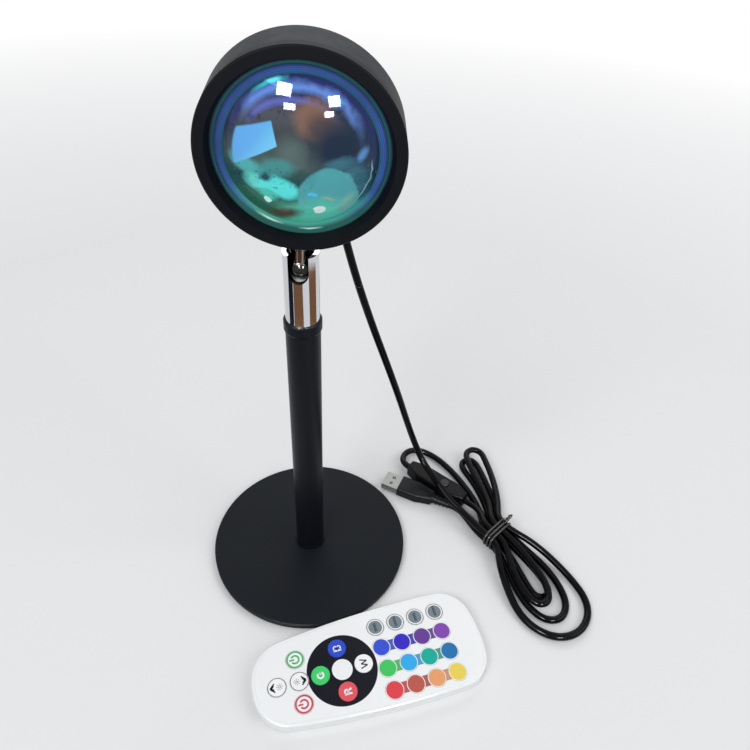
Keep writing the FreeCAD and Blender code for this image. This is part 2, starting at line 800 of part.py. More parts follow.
def make_cord():
    exit_point = head_point(value("gland_across"), value("drum_back - cover_inset + gland_flange_height"
                            " + gland_length"), -value("gland_drop"))
    straight_out = head_turn().multVec(V(0, 1, 0))
    drop = [exit_point, exit_point + straight_out * 11.0]
    drop += route(
        (12.5, 41.5, 236.5), (18.0, 47.0, 215.0), (23.5, 46.5, 191.0), (30.5, 47.5, 165.0),
        (39.5, 47.0, 137.0), (49.5, 47.5, 108.0))
    drop += lie(
        (-1.5, 48.5, 81.0), (6.0, 51.0, 56.0), (13.0, 52.5, 34.0), (19.5, 46.5, 19.5),
        (24.5, 36.5, 17.0), (29.0, 27.0, 14.5), (35.0, 18.0, 10.6), (41.5, 9.5, 9.0), (47.0, 1.5, 8.7))
    into_waist = strand(0, UPPER_LAYER, 1)
    pieces = [cord_piece("cord_drop", drop + [into_waist[0]])]

    big_loop = lie(
        (57.0, -31.0, 7.0), (58.2, -46.0, 4.4), (61.5, -61.0, 2.5), (69.0, -72.0, 2.3), (80.5, -78.0, 2.3),
        (93.0, -76.5, 2.3), (102.5, -68.0, 2.3), (106.0, -56.0, 2.3), (101.5, -41.5, 2.3),
        (92.0, -26.5, 4.6), (81.5, -15.5, 7.6))
    tall_fold = lie(
        (67.8, 16.0, 7.8), (69.5, 31.0, 7.4), (69.2, 44.5, 7.4), (68.2, 55.0, 7.4), (67.0, 63.0, 7.4),
        (61.0, 66.4, 7.4), (55.2, 62.5, 7.4), (55.5, 54.0, 7.4), (56.8, 44.0, 7.4), (59.5, 30.5, 7.4),
        (61.8, 15.0, 7.8))
    inner_loop = lie(
        (72.5, -20.0, 7.8), (78.5, -33.0, 7.4), (82.5, -46.5, 7.4), (80.5, -58.5, 7.4), (71.5, -59.0, 7.4),
        (66.5, -47.0, 7.4), (64.2, -34.0, 7.4), (64.2, -22.5, 8.0))
    box_right = box_point(value("box_length / 2"), 0)
    to_box = lie((54.4, 8.5, 7.4), (52.2, 15.0, 6.0))
    last = box_right + box_direction() * 4.5
    hank = (into_waist + big_loop + strand(3, UPPER_LAYER, -1) + tall_fold + strand(2, UPPER_LAYER, 1)
            + inner_loop + strand(1, UPPER_LAYER, -1) + to_box + [last, box_right])
    pieces.append(cord_piece("cord_hank", hank))

    box_left = box_point(-value("box_length / 2"), 0)
    over_box = lie(
        (9.3, 65.5, 4.6), (15.5, 71.3, 4.0), (24.5, 71.2, 3.0), (34.5, 63.8, 2.3), (43.0, 51.0, 2.3),
        (50.0, 35.0, 2.3), (54.2, 21.5, 2.3), (55.4, 8.5, 2.6))
    small_loop = lie(
        (67.8, -25.0, 2.4), (70.8, -38.0, 2.3), (74.0, -50.5, 2.3), (80.4, -52.6, 2.3), (85.2, -48.0, 2.3),
        (81.8, -36.0, 2.3), (74.6, -22.5, 2.4))
    low_fold = lie(
        (61.0, 12.5, 2.6), (59.5, 27.0, 2.3), (55.7, 42.0, 2.3), (50.6, 55.0, 2.3), (55.2, 60.8, 2.3),
        (62.0, 59.0, 2.3), (64.6, 45.5, 2.3), (66.6, 30.5, 2.3), (67.8, 15.0, 2.6))
    wide_loop = lie(
        (79.0, -18.6, 2.5), (87.0, -31.0, 2.3), (92.0, -44.0, 2.3), (93.0, -57.5, 2.3), (86.5, -67.0, 2.3),
        (76.0, -66.5, 2.3), (68.5, -57.5, 2.3), (64.3, -44.5, 2.3), (62.0, -30.5, 2.4))
    relief = plug_point(value("plug_length + relief_length"))
    to_plug = lie((45.6, 8.4, 2.4))
    before_plug = relief + plug_direction() * 6.5
    tail = ([box_left, box_left - box_direction() * 6.0] + over_box + strand(1, LOWER_LAYER, 1) + small_loop
            + strand(2, LOWER_LAYER, -1) + low_fold + strand(3, LOWER_LAYER, 1) + wide_loop
            + strand(0, LOWER_LAYER, -1) + to_plug + [before_plug, relief])
    pieces.append(cord_piece("cord_tail", tail))
    pieces.append(make_tie())
    return pieces


def make_tie():
    """The band round the hank's waist."""
    tie = new_body("hank_tie")
    outline = new_sketch(tie, "XZ_Plane", "-tie_width / 2")
    wide = f"{1.5 * STRAND_STEP} + cord_radius + side_gap + tie_wall"
    low = f"{LOWER_LAYER} - cord_radius - side_gap - tie_wall"
    high = f"{UPPER_LAYER} + cord_radius + side_gap + tie_wall"
    draw(outline, rounded(wide, low, high, "cord_radius + tie_wall"))
    pad(tie, outline, "tie_width")
    inner = new_sketch(tie, "XZ_Plane", "-tie_width / 2 - 1")
    draw(inner, rounded(f"{wide} - tie_wall", f"{low} + tie_wall", f"{high} - tie_wall", "cord_radius"))
    pocket(tie, inner, "tie_width + 2")
    across = math.degrees(math.atan2(WAIST_ACROSS.y, WAIST_ACROSS.x))
    place(tie, WAIST, FreeCAD.Rotation(V(0, 0, 1), across))
    return tie


# ---------------------------------------------------------------------------------------------
# Inline switch
# ---------------------------------------------------------------------------------------------
BOX_CENTRE = V(value("base_radius + box_stand_off"), value("box_back"), 0)
BOX_HEADING = value("box_heading")


def box_direction():
    return FreeCAD.Rotation(V(0, 0, 1), BOX_HEADING).multVec(V(1, 0, 0))


def box_point(along, across):
    """A point of the switch box's middle plane, in the lamp's frame."""
    turned = FreeCAD.Rotation(V(0, 0, 1), BOX_HEADING).multVec(V(along, across, 0))
    return BOX_CENTRE + turned + V(0, 0, value("box_height / 2"))


def box_outline(shrink="0"):
    """The tapered plan of the switch box."""
    end, side = f"box_length / 2 - ({shrink})", f"box_width / 2 - ({shrink})"
    tip, step = f"box_end_width / 2 - ({shrink}) / 2", "box_length / 2 - box_taper"
    right = [(step, f"-({side})"), (end, f"-({tip})"), (end, tip), (step, side)]
    left = [(f"-({across})", f"-({up})") for across, up in right]
    return right + left


def make_switch():
    low, split, top = "0.1", "box_height / 2", "box_height"
    cavity = rectangle("box_length / 2 - box_taper - box_wall", "box_width / 2 - box_wall")

    bottom = plate("switch_case_bottom", box_outline(), low, f"{split} - {low}")
    rim = edges_where(bottom.Tip.Shape, at_level(value(low)))
    dress(bottom, "Fillet", rim, "box_wall * 0.9")
    hollow = new_sketch(bottom, "XY_Plane", f"{low} + box_wall")
    draw(hollow, cavity)
    pocket_toward(bottom, hollow, "box_height", 1)

    upper = plate("switch_case_top", box_outline(), split, f"{top} - ({split})")
    rim = edges_where(upper.Tip.Shape, at_level(value(top)))
    dress(upper, "Fillet", rim, "box_wall * 0.9")
    hollow = new_sketch(upper, "XY_Plane", f"{top} - box_wall")
    draw(hollow, cavity)
    pocket_toward(upper, hollow, "box_height", -1)
    hole = new_sketch(upper, "XY_Plane", f"{top} - box_wall - 1")
    draw_circles(hole, [("button_place", "0")], "button_radius + box_clear")
    pocket_toward(upper, hole, "box_wall + 2", 1)

    under = f"{top} - box_wall - box_clear"
    button = new_body("switch_button")
    revolve(button, "XZ_Plane", [
        ("0", f"{under} - 2"),
        ("1.2", f"{under} - 2"),
        ("1.2", f"{under} - 1.2"),
        ("button_radius + 0.9", f"{under} - 1.2"),
        ("button_radius + 0.9", under),
        ("button_radius", under),
        ("button_radius", f"{top} + button_proud - 0.4"),
        ("button_radius - 0.4", f"{top} + button_proud"),
        ("0", f"{top} + button_proud"),
    ])

    board_low = f"{low} + box_wall"
    board = plate("switch_board", rectangle("box_length / 2 - box_taper - box_wall - box_clear",
                                            "box_width / 2 - box_wall - box_clear"),
                  board_low, "box_board_thickness")
    block = new_sketch(board, "XY_Plane", f"{board_low} + box_board_thickness / 2")
    block_top = f"{under} - 2 - button_travel - 0.2"
    draw(block, rectangle("2.6", "2.6", "button_place"))
    pad(board, block, f"{block_top} - ({board_low}) - box_board_thickness / 2")

    turn = FreeCAD.Rotation(V(0, 0, 1), BOX_HEADING)
    for piece in (bottom, upper, board):
        place(piece, BOX_CENTRE, turn)
    place(button, BOX_CENTRE + turn.multVec(V(value("button_place"), 0, 0)), turn)
    return [bottom, upper, button, board]


def pocket_toward(body, sketch, length, way):
    """Cuts a sketch out of a body towards +normal (way 1) or -normal (way -1) of its plane."""
    before = body.Shape.Volume
    feature = body.newObject("PartDesign::Pocket", f"{body.Name}_pocket")
    feature.Profile = sketch
    feature.setExpression("Length", rule(length))
    feature.Reversed = way > 0
    doc.recompute()
    if body.Shape.Volume > before - 1e-6:
        raise RuntimeError(f"{body.Name}: a pocket cuts nothing")
    return feature


# ---------------------------------------------------------------------------------------------
# USB plug
# ---------------------------------------------------------------------------------------------
PLUG_MOUTH = V(value("base_radius + plug_stand_off"), value("plug_back"), 0)
PLUG_HEADING = value("plug_heading")


def plug_direction():
    return FreeCAD.Rotation(V(0, 0, 1), PLUG_HEADING).multVec(V(1, 0, 0))


def plug_point(along):
    """A point of the plug's axis, measured from where its shell enters the grip."""
    start = PLUG_MOUTH + plug_direction() * value("shell_exposed")
    return start + plug_direction() * along + V(0, 0, value("plug_thickness / 2 + 0.1"))


def make_plug():
    middle = "plug_thickness / 2 + 0.1"
    grip = plate("usb_overmould", [
        ("0", "-plug_width / 2"), ("plug_length * 0.55", "-plug_width / 2"),
        ("plug_length", "-plug_end_width / 2"), ("plug_length", "plug_end_width / 2"),
        ("plug_length * 0.55", "plug_width / 2"), ("0", "plug_width / 2"),
    ], "0.1", "plug_thickness")
    long_rims = edges_where(grip.Tip.Shape, lambda edge: abs(edge.BoundBox.ZLength) < 1e-5
                            and edge.BoundBox.XLength > 1)
    dress(grip, "Fillet", long_rims, "1.6")
    mouth = new_sketch(grip, "YZ_Plane")
    draw(mouth, [
        ("-shell_width / 2 - fit_gap", f"{middle} - shell_height / 2 - fit_gap"),
        ("shell_width / 2 + fit_gap", f"{middle} - shell_height / 2 - fit_gap"),
        ("shell_width / 2 + fit_gap", f"{middle} + shell_height / 2 + fit_gap"),
        ("-shell_width / 2 - fit_gap", f"{middle} + shell_height / 2 + fit_gap"),
    ])
    pocket(grip, mouth, "shell_seat")

    relief = doc.addObject("Part::Feature", "usb_relief")
    rings = 4
    length, thick, thin = value("relief_length"), value("relief_radius"), value("relief_tip_radius")
    step = length / (2 * rings + 1)
    outline = [V(0, 0, 0)]
    for number in range(2 * rings + 1):
        share = number / (2 * rings)
        radius = thick + (thin - thick) * share - (value("relief_groove") if number % 2 else 0)
        outline += [V(number * step, 0, radius), V((number + 1) * step, 0, radius)]
    outline.append(V(length, 0, 0))
    face = Part.Face(Part.makePolygon(outline + [outline[0]]))
    relief.Shape = face.revolve(V(), V(1, 0, 0), 360)
    place(relief, V(value("plug_length"), 0, value(middle)))
    whole = doc.addObject("Part::Fuse", "usb_overmould_whole")
    whole.Base, whole.Tool = grip, relief
    grip.Label = "usb_grip"
    whole.Label = "usb_overmould"

    shell = new_body("usb_shell")
    outside = new_sketch(shell, "YZ_Plane", "-shell_exposed")
    draw(outside, [
        ("-shell_width / 2", f"{middle} - shell_height / 2"),
        ("shell_width / 2", f"{middle} - shell_height / 2"),
        ("shell_width / 2", f"{middle} + shell_height / 2"),
        ("-shell_width / 2", f"{middle} + shell_height / 2"),
    ])
    pad(shell, outside, "shell_exposed + shell_seat")
    inside = new_sketch(shell, "YZ_Plane", "-shell_exposed - 1")
    half, tall = "shell_width / 2 - shell_wall", "shell_height / 2 - shell_wall"
    draw(inside, [
        (f"-({half})", f"{middle} - ({tall})"), (half, f"{middle} - ({tall})"),
        (half, f"{middle} + {tall}"), (f"-({half})", f"{middle} + {tall}"),
    ])
    pocket(shell, inside, "shell_exposed + shell_seat + 2")

    windows = new_sketch(shell, "XY_Plane", middle)
    near = "window_place - window_size / 2 - shell_exposed"
    far = "window_place + window_size / 2 - shell_exposed"
    for inner_side, outer_side in (("window_spread - window_size / 2", "window_spread + window_size / 2"),
                                   ("-window_spread - window_size / 2", "-window_spread + window_size / 2")):
        draw(windows, [(near, inner_side), (far, inner_side), (far, outer_side), (near, outer_side)])
    pocket_toward(shell, windows, "shell_height", 1)

    tongue = new_body("usb_tongue")
    bar = new_sketch(tongue, "YZ_Plane", "-shell_exposed + 0.5")
    low = f"{middle} - shell_height / 2 + shell_wall"
    draw(bar, [
        (f"-({half}) + fit_gap", low), (f"{half} - fit_gap", low),
        (f"{half} - fit_gap", f"{low} + tongue_thickness"),
        (f"-({half}) + fit_gap", f"{low} + tongue_thickness"),
    ])
    pad(tongue, bar, "shell_exposed + shell_seat - 0.5")

    start = PLUG_MOUTH + plug_direction() * value("shell_exposed")
    turn = FreeCAD.Rotation(V(0, 0, 1), PLUG_HEADING)
    for piece in (whole, shell, tongue):
        place(piece, start, turn)
    return [whole, shell, tongue]


# ---------------------------------------------------------------------------------------------
# Remote control
# ---------------------------------------------------------------------------------------------
REMOTE_LENGTH = "(7.96 * key_pitch + remote_left_margin + remote_right_margin)"
REMOTE_WIDTH = "(3 * key_pitch + 2 * remote_side_margin)"
KEY_RADIUS = "(key_pitch / 2 - key_spacing)"
REMOTE_REACH = value(f"base_radius + {REMOTE_WIDTH} / 2 + remote_side_bulge + remote_stand_off")
REMOTE_CENTRE = FreeCAD.Rotation(V(0, 0, 1), value("remote_azimuth")).multVec(V(REMOTE_REACH, 0, 0))
REMOTE_HEADING = value("remote_heading")
# Key centres in key pitches, from the middle of the round colour pad.
PAD_OFFSET = f"-{REMOTE_LENGTH} / 2 + remote_left_margin + 2.96 * key_pitch"
KEYS = {
    "remote_key_blue": (0, 1), "remote_key_red": (0, -1),
    "remote_key_green": (-1, 0), "remote_key_white": (1, 0),
    "remote_key_on": (-1.96, 1), "remote_key_off": (-1.96, -1),
    "remote_key_dim": (-2.96, 0), "remote_key_bright": (-1.96, 0),
}
for line, height in zip(("mode", "violet", "teal", "orange"), (1.5, 0.5, -0.5, -1.5)):
    for number in range(4):
        KEYS[f"remote_key_{line}_{number + 1}"] = (2 + number, height)


def key_spot(name):
    """The rules for a key's centre in the remote's own frame."""
    across, up = KEYS[name]
    return f"{PAD_OFFSET} + {across} * key_pitch", f"{up} * key_pitch - key_row_shift"


def remote_outline(shrink="0"):
    """The plan of the remote before its corners are rounded: four bulged sides, closer at the left."""
    half = f"{REMOTE_LENGTH} / 2 - remote_end_bulge - ({shrink})"
    wide = f"{REMOTE_WIDTH} / 2 + remote_taper - ({shrink})"
    narrow = f"{REMOTE_WIDTH} / 2 - remote_taper - ({shrink})"
    long_arc = f"(({half})^2 + remote_taper^2 + remote_side_bulge^2) / (2 * remote_side_bulge)"
    wide_arc = f"(({wide})^2 + remote_end_bulge^2) / (2 * remote_end_bulge)"
    narrow_arc = f"(({narrow})^2 + remote_end_bulge^2) / (2 * remote_end_bulge)"
    return [
        (f"-({half})", f"-({narrow})", long_arc, 1), (half, f"-({wide})", wide_arc, 1),
        (half, wide, long_arc, 1), (f"-({half})", narrow, narrow_arc, 1),
    ]


def remote_slab(name, low, thickness, shrink="0"):
    """A slab of the remote's plan, with its corners rounded more at the narrow end."""
    body = plate(name, remote_outline(shrink), low, thickness)
    for way, amount in ((-1, "remote_round_left"), (1, "remote_round_right")):
        beyond = value("2 * key_pitch")
        corners = edges_where(
            body.Tip.Shape, lambda edge: upright(edge) and edge.BoundBox.Center.x * way > beyond)
        dress(body, "Fillet", corners, f"{amount} - ({shrink})")
    return body


def shell_out(body, open_level, wall):
    """Hollows a slab from the side at a level."""
    last = body.Tip
    face = next(f"Face{number}" for number, item in enumerate(last.Shape.Faces, start=1)
                if item.BoundBox.ZLength < 1e-5 and abs(item.BoundBox.ZMin - open_level) < 1e-5)
    hollow = body.newObject("PartDesign::Thickness", f"{body.Name}_hollow")
    hollow.Base = (last, [face])
    hollow.setExpression("Value", rule(wall))
    hollow.Reversed = True
    doc.recompute()
    return hollow


def make_remote():
    key_spots = [key_spot(name) for name in KEYS]
    hole = f"{KEY_RADIUS} + key_gap"
    top = "remote_height"

    lower = remote_slab("remote_lower_case", "0", "remote_parting")
    shell_out(lower, value("remote_parting"), "remote_wall")
    dress(lower, "Fillet", edges_where(lower.Tip.Shape, at_level(0)), "remote_edge_round")
    posts = new_sketch(lower, "XY_Plane", "remote_wall / 2")
    post_rows = (f"-{REMOTE_LENGTH} / 2 + post_left", f"{REMOTE_LENGTH} / 2 - post_right")
    post_spots = [
        (along, f"{side} * ({REMOTE_WIDTH} / 2 - post_inset)") for along in post_rows for side in (1, -1)
    ]
    draw_circles(posts, post_spots, "post_radius")
    pad(lower, posts, "circuit_level - remote_wall / 2")
    doorway = new_sketch(lower, "XY_Plane", "remote_wall")
    door_left = f"-{REMOTE_LENGTH} / 2 - 1"
    door_right = f"-{REMOTE_LENGTH} / 2 + remote_wall + remote_end_bulge"
    half_door = "tray_width / 2 + side_gap"
    draw(doorway, [(door_left, f"-({half_door})"), (door_right, f"-({half_door})"),
                   (door_right, half_door), (door_left, half_door)])
    pocket_toward(lower, doorway, "remote_parting", 1)

    upper = remote_slab("remote_upper_case", "remote_parting", f"{top} - remote_parting")
    shell_out(upper, value("remote_parting"), "remote_top_wall")
    dress(upper, "Fillet", edges_where(upper.Tip.Shape, at_level(value(top))), "remote_edge_round")
    holes = new_sketch(upper, "XY_Plane", f"{top} - remote_top_wall - 1")
    draw_circles(holes, key_spots, hole)
    pocket_toward(upper, holes, "remote_top_wall + 2", 1)

    film = remote_slab("remote_key_film", top, "film_thickness", "film_margin")
    holes = new_sketch(film, "XY_Plane", f"{top} - 1")
    draw_circles(holes, key_spots, hole)
    pocket_toward(film, holes, "film_thickness + 2", 1)

    half_circuit = f"{REMOTE_LENGTH} / 2 - circuit_margin"
    plan = rectangle(half_circuit, f"{REMOTE_WIDTH} / 2 - circuit_side", "2")
    circuit = plate("remote_circuit_board", plan, "circuit_level", "circuit_thickness")
    corners = edges_where(circuit.Tip.Shape, upright)
    dress(circuit, "Fillet", corners, "circuit_round")

    tray_low = "remote_wall + tray_gap"
    tray_left = f"-{REMOTE_LENGTH} / 2 + tray_setback"
    tray_right = f"{tray_left} + tray_length"
    half_tray = "tray_width / 2"
    tray = plate("remote_battery_tray", [
        (tray_left, f"-({half_tray})"), (tray_right, f"-({half_tray})"), (tray_right, half_tray),
        (tray_left, half_tray)], tray_low, "tray_height - 0.2")
    well = new_sketch(tray, "XY_Plane", f"{tray_low} + tray_floor")
    cell_middle = f"{tray_left} + tray_length - cell_radius - 1.4"
    draw_circles(well, [(cell_middle, "0")], "cell_radius + side_gap")
    pocket_toward(tray, well, "tray_height", 1)

    cell = new_body("remote_coin_cell")
    floor = f"{tray_low} + tray_floor"
    revolve(cell, "XZ_Plane", [
        ("0", floor), ("cell_radius - 1", floor), ("cell_radius", f"{floor} + 0.5"),
        ("cell_radius", f"{floor} + cell_thickness"), ("0", f"{floor} + cell_thickness"),
    ])

    turn = FreeCAD.Rotation(V(0, 0, 1), REMOTE_HEADING)
    pieces = [lower, upper, film, circuit, tray]
    for piece in pieces:
        place(piece, REMOTE_CENTRE, turn)
    place(cell, REMOTE_CENTRE + turn.multVec(V(value(cell_middle), 0, 0)), turn)
    pieces.append(cell)

    underside = f"{top} - remote_top_wall - 0.15"
    for name in KEYS:
        key = new_body(name)
        revolve(key, "XZ_Plane", [
            ("0", f"{underside} - key_flange_height"),
            ("key_pitch / 2 - side_gap", f"{underside} - key_flange_height"),
            ("key_pitch / 2 - side_gap", underside),
            (KEY_RADIUS, underside),
            (KEY_RADIUS, f"{top} + film_thickness + key_proud"),
            ("0", f"{top} + film_thickness + key_proud"),
        ])
        across, up = key_spot(name)
        place(key, REMOTE_CENTRE + turn.multVec(V(value(across), value(up), 0)), turn)
        pieces.append(key)
    return pieces


# ---------------------------------------------------------------------------------------------
# Build, check and write
# ---------------------------------------------------------------------------------------------
nodes = make_stand() + make_swivel() + make_head()
nodes += make_cord() + make_switch() + make_plug() + make_remote()
doc.recompute()

for item in doc.Objects:
    if "Invalid" in item.State or "Error" in item.State:
        raise RuntimeError(f"{item.Name} failed: {item.State}")
for node in nodes:
    if node.Shape.isNull() or not node.Shape.isValid() or not node.Shape.Solids:
        raise RuntimeError(f"{node.Label} has no valid solid")

os.makedirs("parts", exist_ok=True)
for node in nodes:
    node.Shape.exportStep(f"parts/{node.Label}.step")
print(f"{len(nodes)} nodes written")
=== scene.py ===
"""Looks of the sunset projection lamp: its finishes, its cord, the remote's print, and a small studio."""

import logging
import math
from collections.abc import Sequence
from dataclasses import dataclass, field
from enum import Enum
from functools import partialmethod

import bmesh
import bpy
from mathutils import Matrix, Quaternion, Vector


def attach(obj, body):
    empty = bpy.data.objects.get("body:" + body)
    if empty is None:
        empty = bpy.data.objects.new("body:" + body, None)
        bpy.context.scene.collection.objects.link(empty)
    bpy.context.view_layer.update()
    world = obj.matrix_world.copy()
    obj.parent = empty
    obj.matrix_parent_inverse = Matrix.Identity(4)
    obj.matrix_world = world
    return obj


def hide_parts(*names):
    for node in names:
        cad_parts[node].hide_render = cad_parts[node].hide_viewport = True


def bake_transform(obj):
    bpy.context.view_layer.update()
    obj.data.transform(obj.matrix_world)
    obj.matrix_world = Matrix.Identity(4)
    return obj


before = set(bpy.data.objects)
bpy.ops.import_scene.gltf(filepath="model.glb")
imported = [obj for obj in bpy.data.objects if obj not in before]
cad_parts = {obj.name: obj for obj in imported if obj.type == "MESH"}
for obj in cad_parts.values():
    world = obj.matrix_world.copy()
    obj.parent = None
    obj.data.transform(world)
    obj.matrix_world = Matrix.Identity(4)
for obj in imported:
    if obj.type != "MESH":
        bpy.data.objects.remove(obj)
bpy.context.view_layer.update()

LOG = logging.getLogger("sunset_lamp")

Colour = tuple[float, float, float]
Point = tuple[float, float, float]
Spot = tuple[float, float]

MM = 0.001
ORIGIN: Point = (0.0, 0.0, 0.0)
DRUM_CENTRE: Point = (0.0021, -0.0042, 0.2599)
CARD_TARGET: Point = (0.0, 0.0, 0.26)
REMOTE_CENTRE: Spot = (0.03048, -0.08312)
REMOTE_HEADING = math.radians(10.82)
# Where the round pad's middle lies along the remote, how far the rows of keys stand off the remote's middle
# line, and the distance between keys.
PAD_ACROSS, ROW_SHIFT, KEY_PITCH = -0.016415, -0.0017, 0.012
# Clouds per metre and octaves of the wandering colour and of the wandering roughness.
CLOUDS, SMEARS = (60.0, 3.0), (180.0, 4.0)


# --- Shader sums ---
class Signal:
    """A number or vector inside a material's node tree, which ordinary sums can be done on."""

    def __init__(self, tree: bpy.types.NodeTree, socket: bpy.types.NodeSocket) -> None:
        """Wraps an output socket of a tree."""
        self.tree = tree
        self.socket = socket

    def _sum(self, operation: str, *others: "Signal | float", clamp: bool = False) -> "Signal":
        """Adds a Math node.

        Args:
            operation: The Math node's operation.
            others: What is fed to its second and third inputs.
            clamp: Whether the result is kept between 0 and 1.

        Returns:
            The node's result.
        """
        node = self.tree.nodes.new("ShaderNodeMath")
        node.operation = operation
        node.use_clamp = clamp
        for slot, value in enumerate((self, *others)):
            if isinstance(value, Signal):
                self.tree.links.new(value.socket, node.inputs[slot])
            else:
                node.inputs[slot].default_value = value
        return Signal(self.tree, node.outputs[0])

    __add__ = partialmethod(_sum, "ADD")
    __sub__ = partialmethod(_sum, "SUBTRACT")
    __mul__ = partialmethod(_sum, "MULTIPLY")
    __truediv__ = partialmethod(_sum, "DIVIDE")
    __pow__ = partialmethod(_sum, "POWER")
    __abs__ = partialmethod(_sum, "ABSOLUTE")
    root = partialmethod(_sum, "SQRT")
    sine = partialmethod(_sum, "SINE")
    most = partialmethod(_sum, "MAXIMUM")
    clamped = partialmethod(_sum, "ADD", 0.0, clamp=True)

    def under(self, edge: float, softness: float) -> "Signal":
        """A mask that is 1 below an edge and 0 above it.

        Args:
            edge: Where the mask changes.
            softness: Over how far it changes.

        Returns:
            The mask.
        """
        return ((self * -1.0 + edge) / softness)._sum("ADD", 0.5, clamp=True)

    def over(self, edge: float, softness: float) -> "Signal":
        """A mask that is 1 above an edge and 0 below it."""
        return ((self - edge) / softness)._sum("ADD", 0.5, clamp=True)

    def between(self, low: float, high: float, softness: float) -> "Signal":
        """A mask that is 1 between two edges."""
        return self.over(low, softness) * self.under(high, softness)


def length(across: Signal, along: Signal) -> Signal:
    """The length of a run, from its two parts."""
    return (across ** 2.0 + along ** 2.0).root()


class Palette:
    """One material being made: its nodes, its coordinates and its surface."""

    def __init__(self, name: str) -> None:
        """Starts an empty material with a principled surface.

        Args:
            name: The material's name.
        """
        self.material = bpy.data.materials.new(name)
        self.material.use_nodes = True
        self.tree = self.material.node_tree
        self.tree.nodes.clear()
        self.output = self.add("OutputMaterial")
        self.surface = self.add("BsdfPrincipled")
        self.tree.links.new(self.surface.outputs[0], self.output.inputs["Surface"])

    def add(self, kind: str, settings: dict[str, object] | None = None, **inputs: object
            ) -> bpy.types.Node:
        """Adds a shader node of any kind but Math.

        Args:
            kind: The node's type without its ShaderNode prefix.
            settings: Properties of the node.
            inputs: Values or signals for its inputs, by name with _ for a space.

        Returns:
            The node.
        """
        node = self.tree.nodes.new(f"ShaderNode{kind}")
        for key, value in (settings or {}).items():
            setattr(node, key, value)
        for key, value in inputs.items():
            self.feed(node.inputs[key.replace("_", " ")], value)
        return node

    def feed(self, socket: bpy.types.NodeSocket, value: object) -> None:
        """Sets or links an input."""
        if isinstance(value, Signal):
            self.tree.links.new(value.socket, socket)
        elif isinstance(value, bpy.types.NodeSocket):
            self.tree.links.new(value, socket)
        elif isinstance(value, tuple) and len(value) == 3 and socket.type == "RGBA":
            socket.default_value = (*value, 1.0)
        else:
            socket.default_value = value

    def place(self) -> bpy.types.NodeSocket:
        """The object coordinates, in metres in the lamp's frame."""
        return self.add("TexCoord").outputs["Object"]

    def axes(self) -> tuple[Signal, Signal, Signal]:
        """Splits the object coordinates in three signals."""
        split = self.add("SeparateXYZ", Vector=self.place())
        return tuple(Signal(self.tree, output) for output in split.outputs)

    def noise(self, scale: float, detail: float = 2.0, roughness: float = 0.5) -> Signal:
        """A cloudy signal about one half.

        Args:
            scale: Clouds per metre.
            detail: Octaves.
            roughness: How strong the finer octaves are.

        Returns:
            The signal.
        """
        node = self.add("TexNoise", Vector=self.place(), Scale=scale, Detail=detail, Roughness=roughness)
        return Signal(self.tree, node.outputs[0])

    def specks(self, scale: float, detail: float, roughness: float, gain: float, cut: float) -> Signal:
        """Hard-edged specks, where the clouds stand high.

        Args:
            scale: Clouds per metre.
            detail: Octaves.
            roughness: How strong the finer octaves are.
            gain: How hard the specks' edges are.
            cut: How much is taken off after the gain.

        Returns:
            The mask.
        """
        return (self.noise(scale, detail, roughness) * gain - cut).clamped()

    def mix(self, factor: Signal | float, low: object, high: object) -> bpy.types.NodeSocket:
        """Blends two colours by a mask.

        Args:
            factor: The mask.
            low: The colour at 0.
            high: The colour at 1.

        Returns:
            The blended colour.
        """
        node = self.add("Mix", {"data_type": "RGBA"})
        self.feed(node.inputs[0], factor)
        self.feed(node.inputs[6], low)
        self.feed(node.inputs[7], high)
        return node.outputs[2]

    def ramp(self, factor: Signal, stops: Sequence[tuple[float, Colour]], stepped: bool = False
             ) -> bpy.types.NodeSocket:
        """A colour that follows a signal.

        Args:
            factor: The signal.
            stops: Pairs of place and colour.
            stepped: Whether the colour changes at once at each stop.

        Returns:
            The colour.
        """
        node = self.add("ValToRGB", Fac=factor)
        ramp = node.color_ramp
        ramp.interpolation = "CONSTANT" if stepped else "EASE"
        while len(ramp.elements) < len(stops):
            ramp.elements.new(1.0)
        for element, (spot, colour) in zip(ramp.elements, stops):
            element.position = spot
            element.color = (*colour, 1.0)
        return node.outputs[0]

    def bump(self, height: Signal, distance: float) -> None:
        """Raises the surface by a signal, to a height in metres."""
        node = self.add("Bump", Height=height, Distance=distance, Strength=1.0)
        self.feed(self.surface.inputs["Normal"], node.outputs[0])

    def set(self, **inputs: object) -> None:
        """Sets inputs of the principled surface, by name with _ for a space."""
        for key, value in inputs.items():
            self.feed(self.surface.inputs[key.replace("_", " ")], value)

    def cover(self, factor: Signal, shader: bpy.types.Node) -> None:
        """Lays a second shader over the principled surface.

        Args:
            factor: How far it hides the surface.
            shader: The shader on top.
        """
        blend = self.add("MixShader", Fac=factor)
        self.feed(blend.inputs[1], self.surface.outputs[0])
        self.feed(blend.inputs[2], shader.outputs[0])
        self.feed(self.output.inputs["Surface"], blend.outputs[0])


# --- Finishes ---
def toned(colour: Colour, share: float) -> Colour:
    """A colour taken down or up by a share."""
    return tuple(min(1.0, part * share) for part in colour)


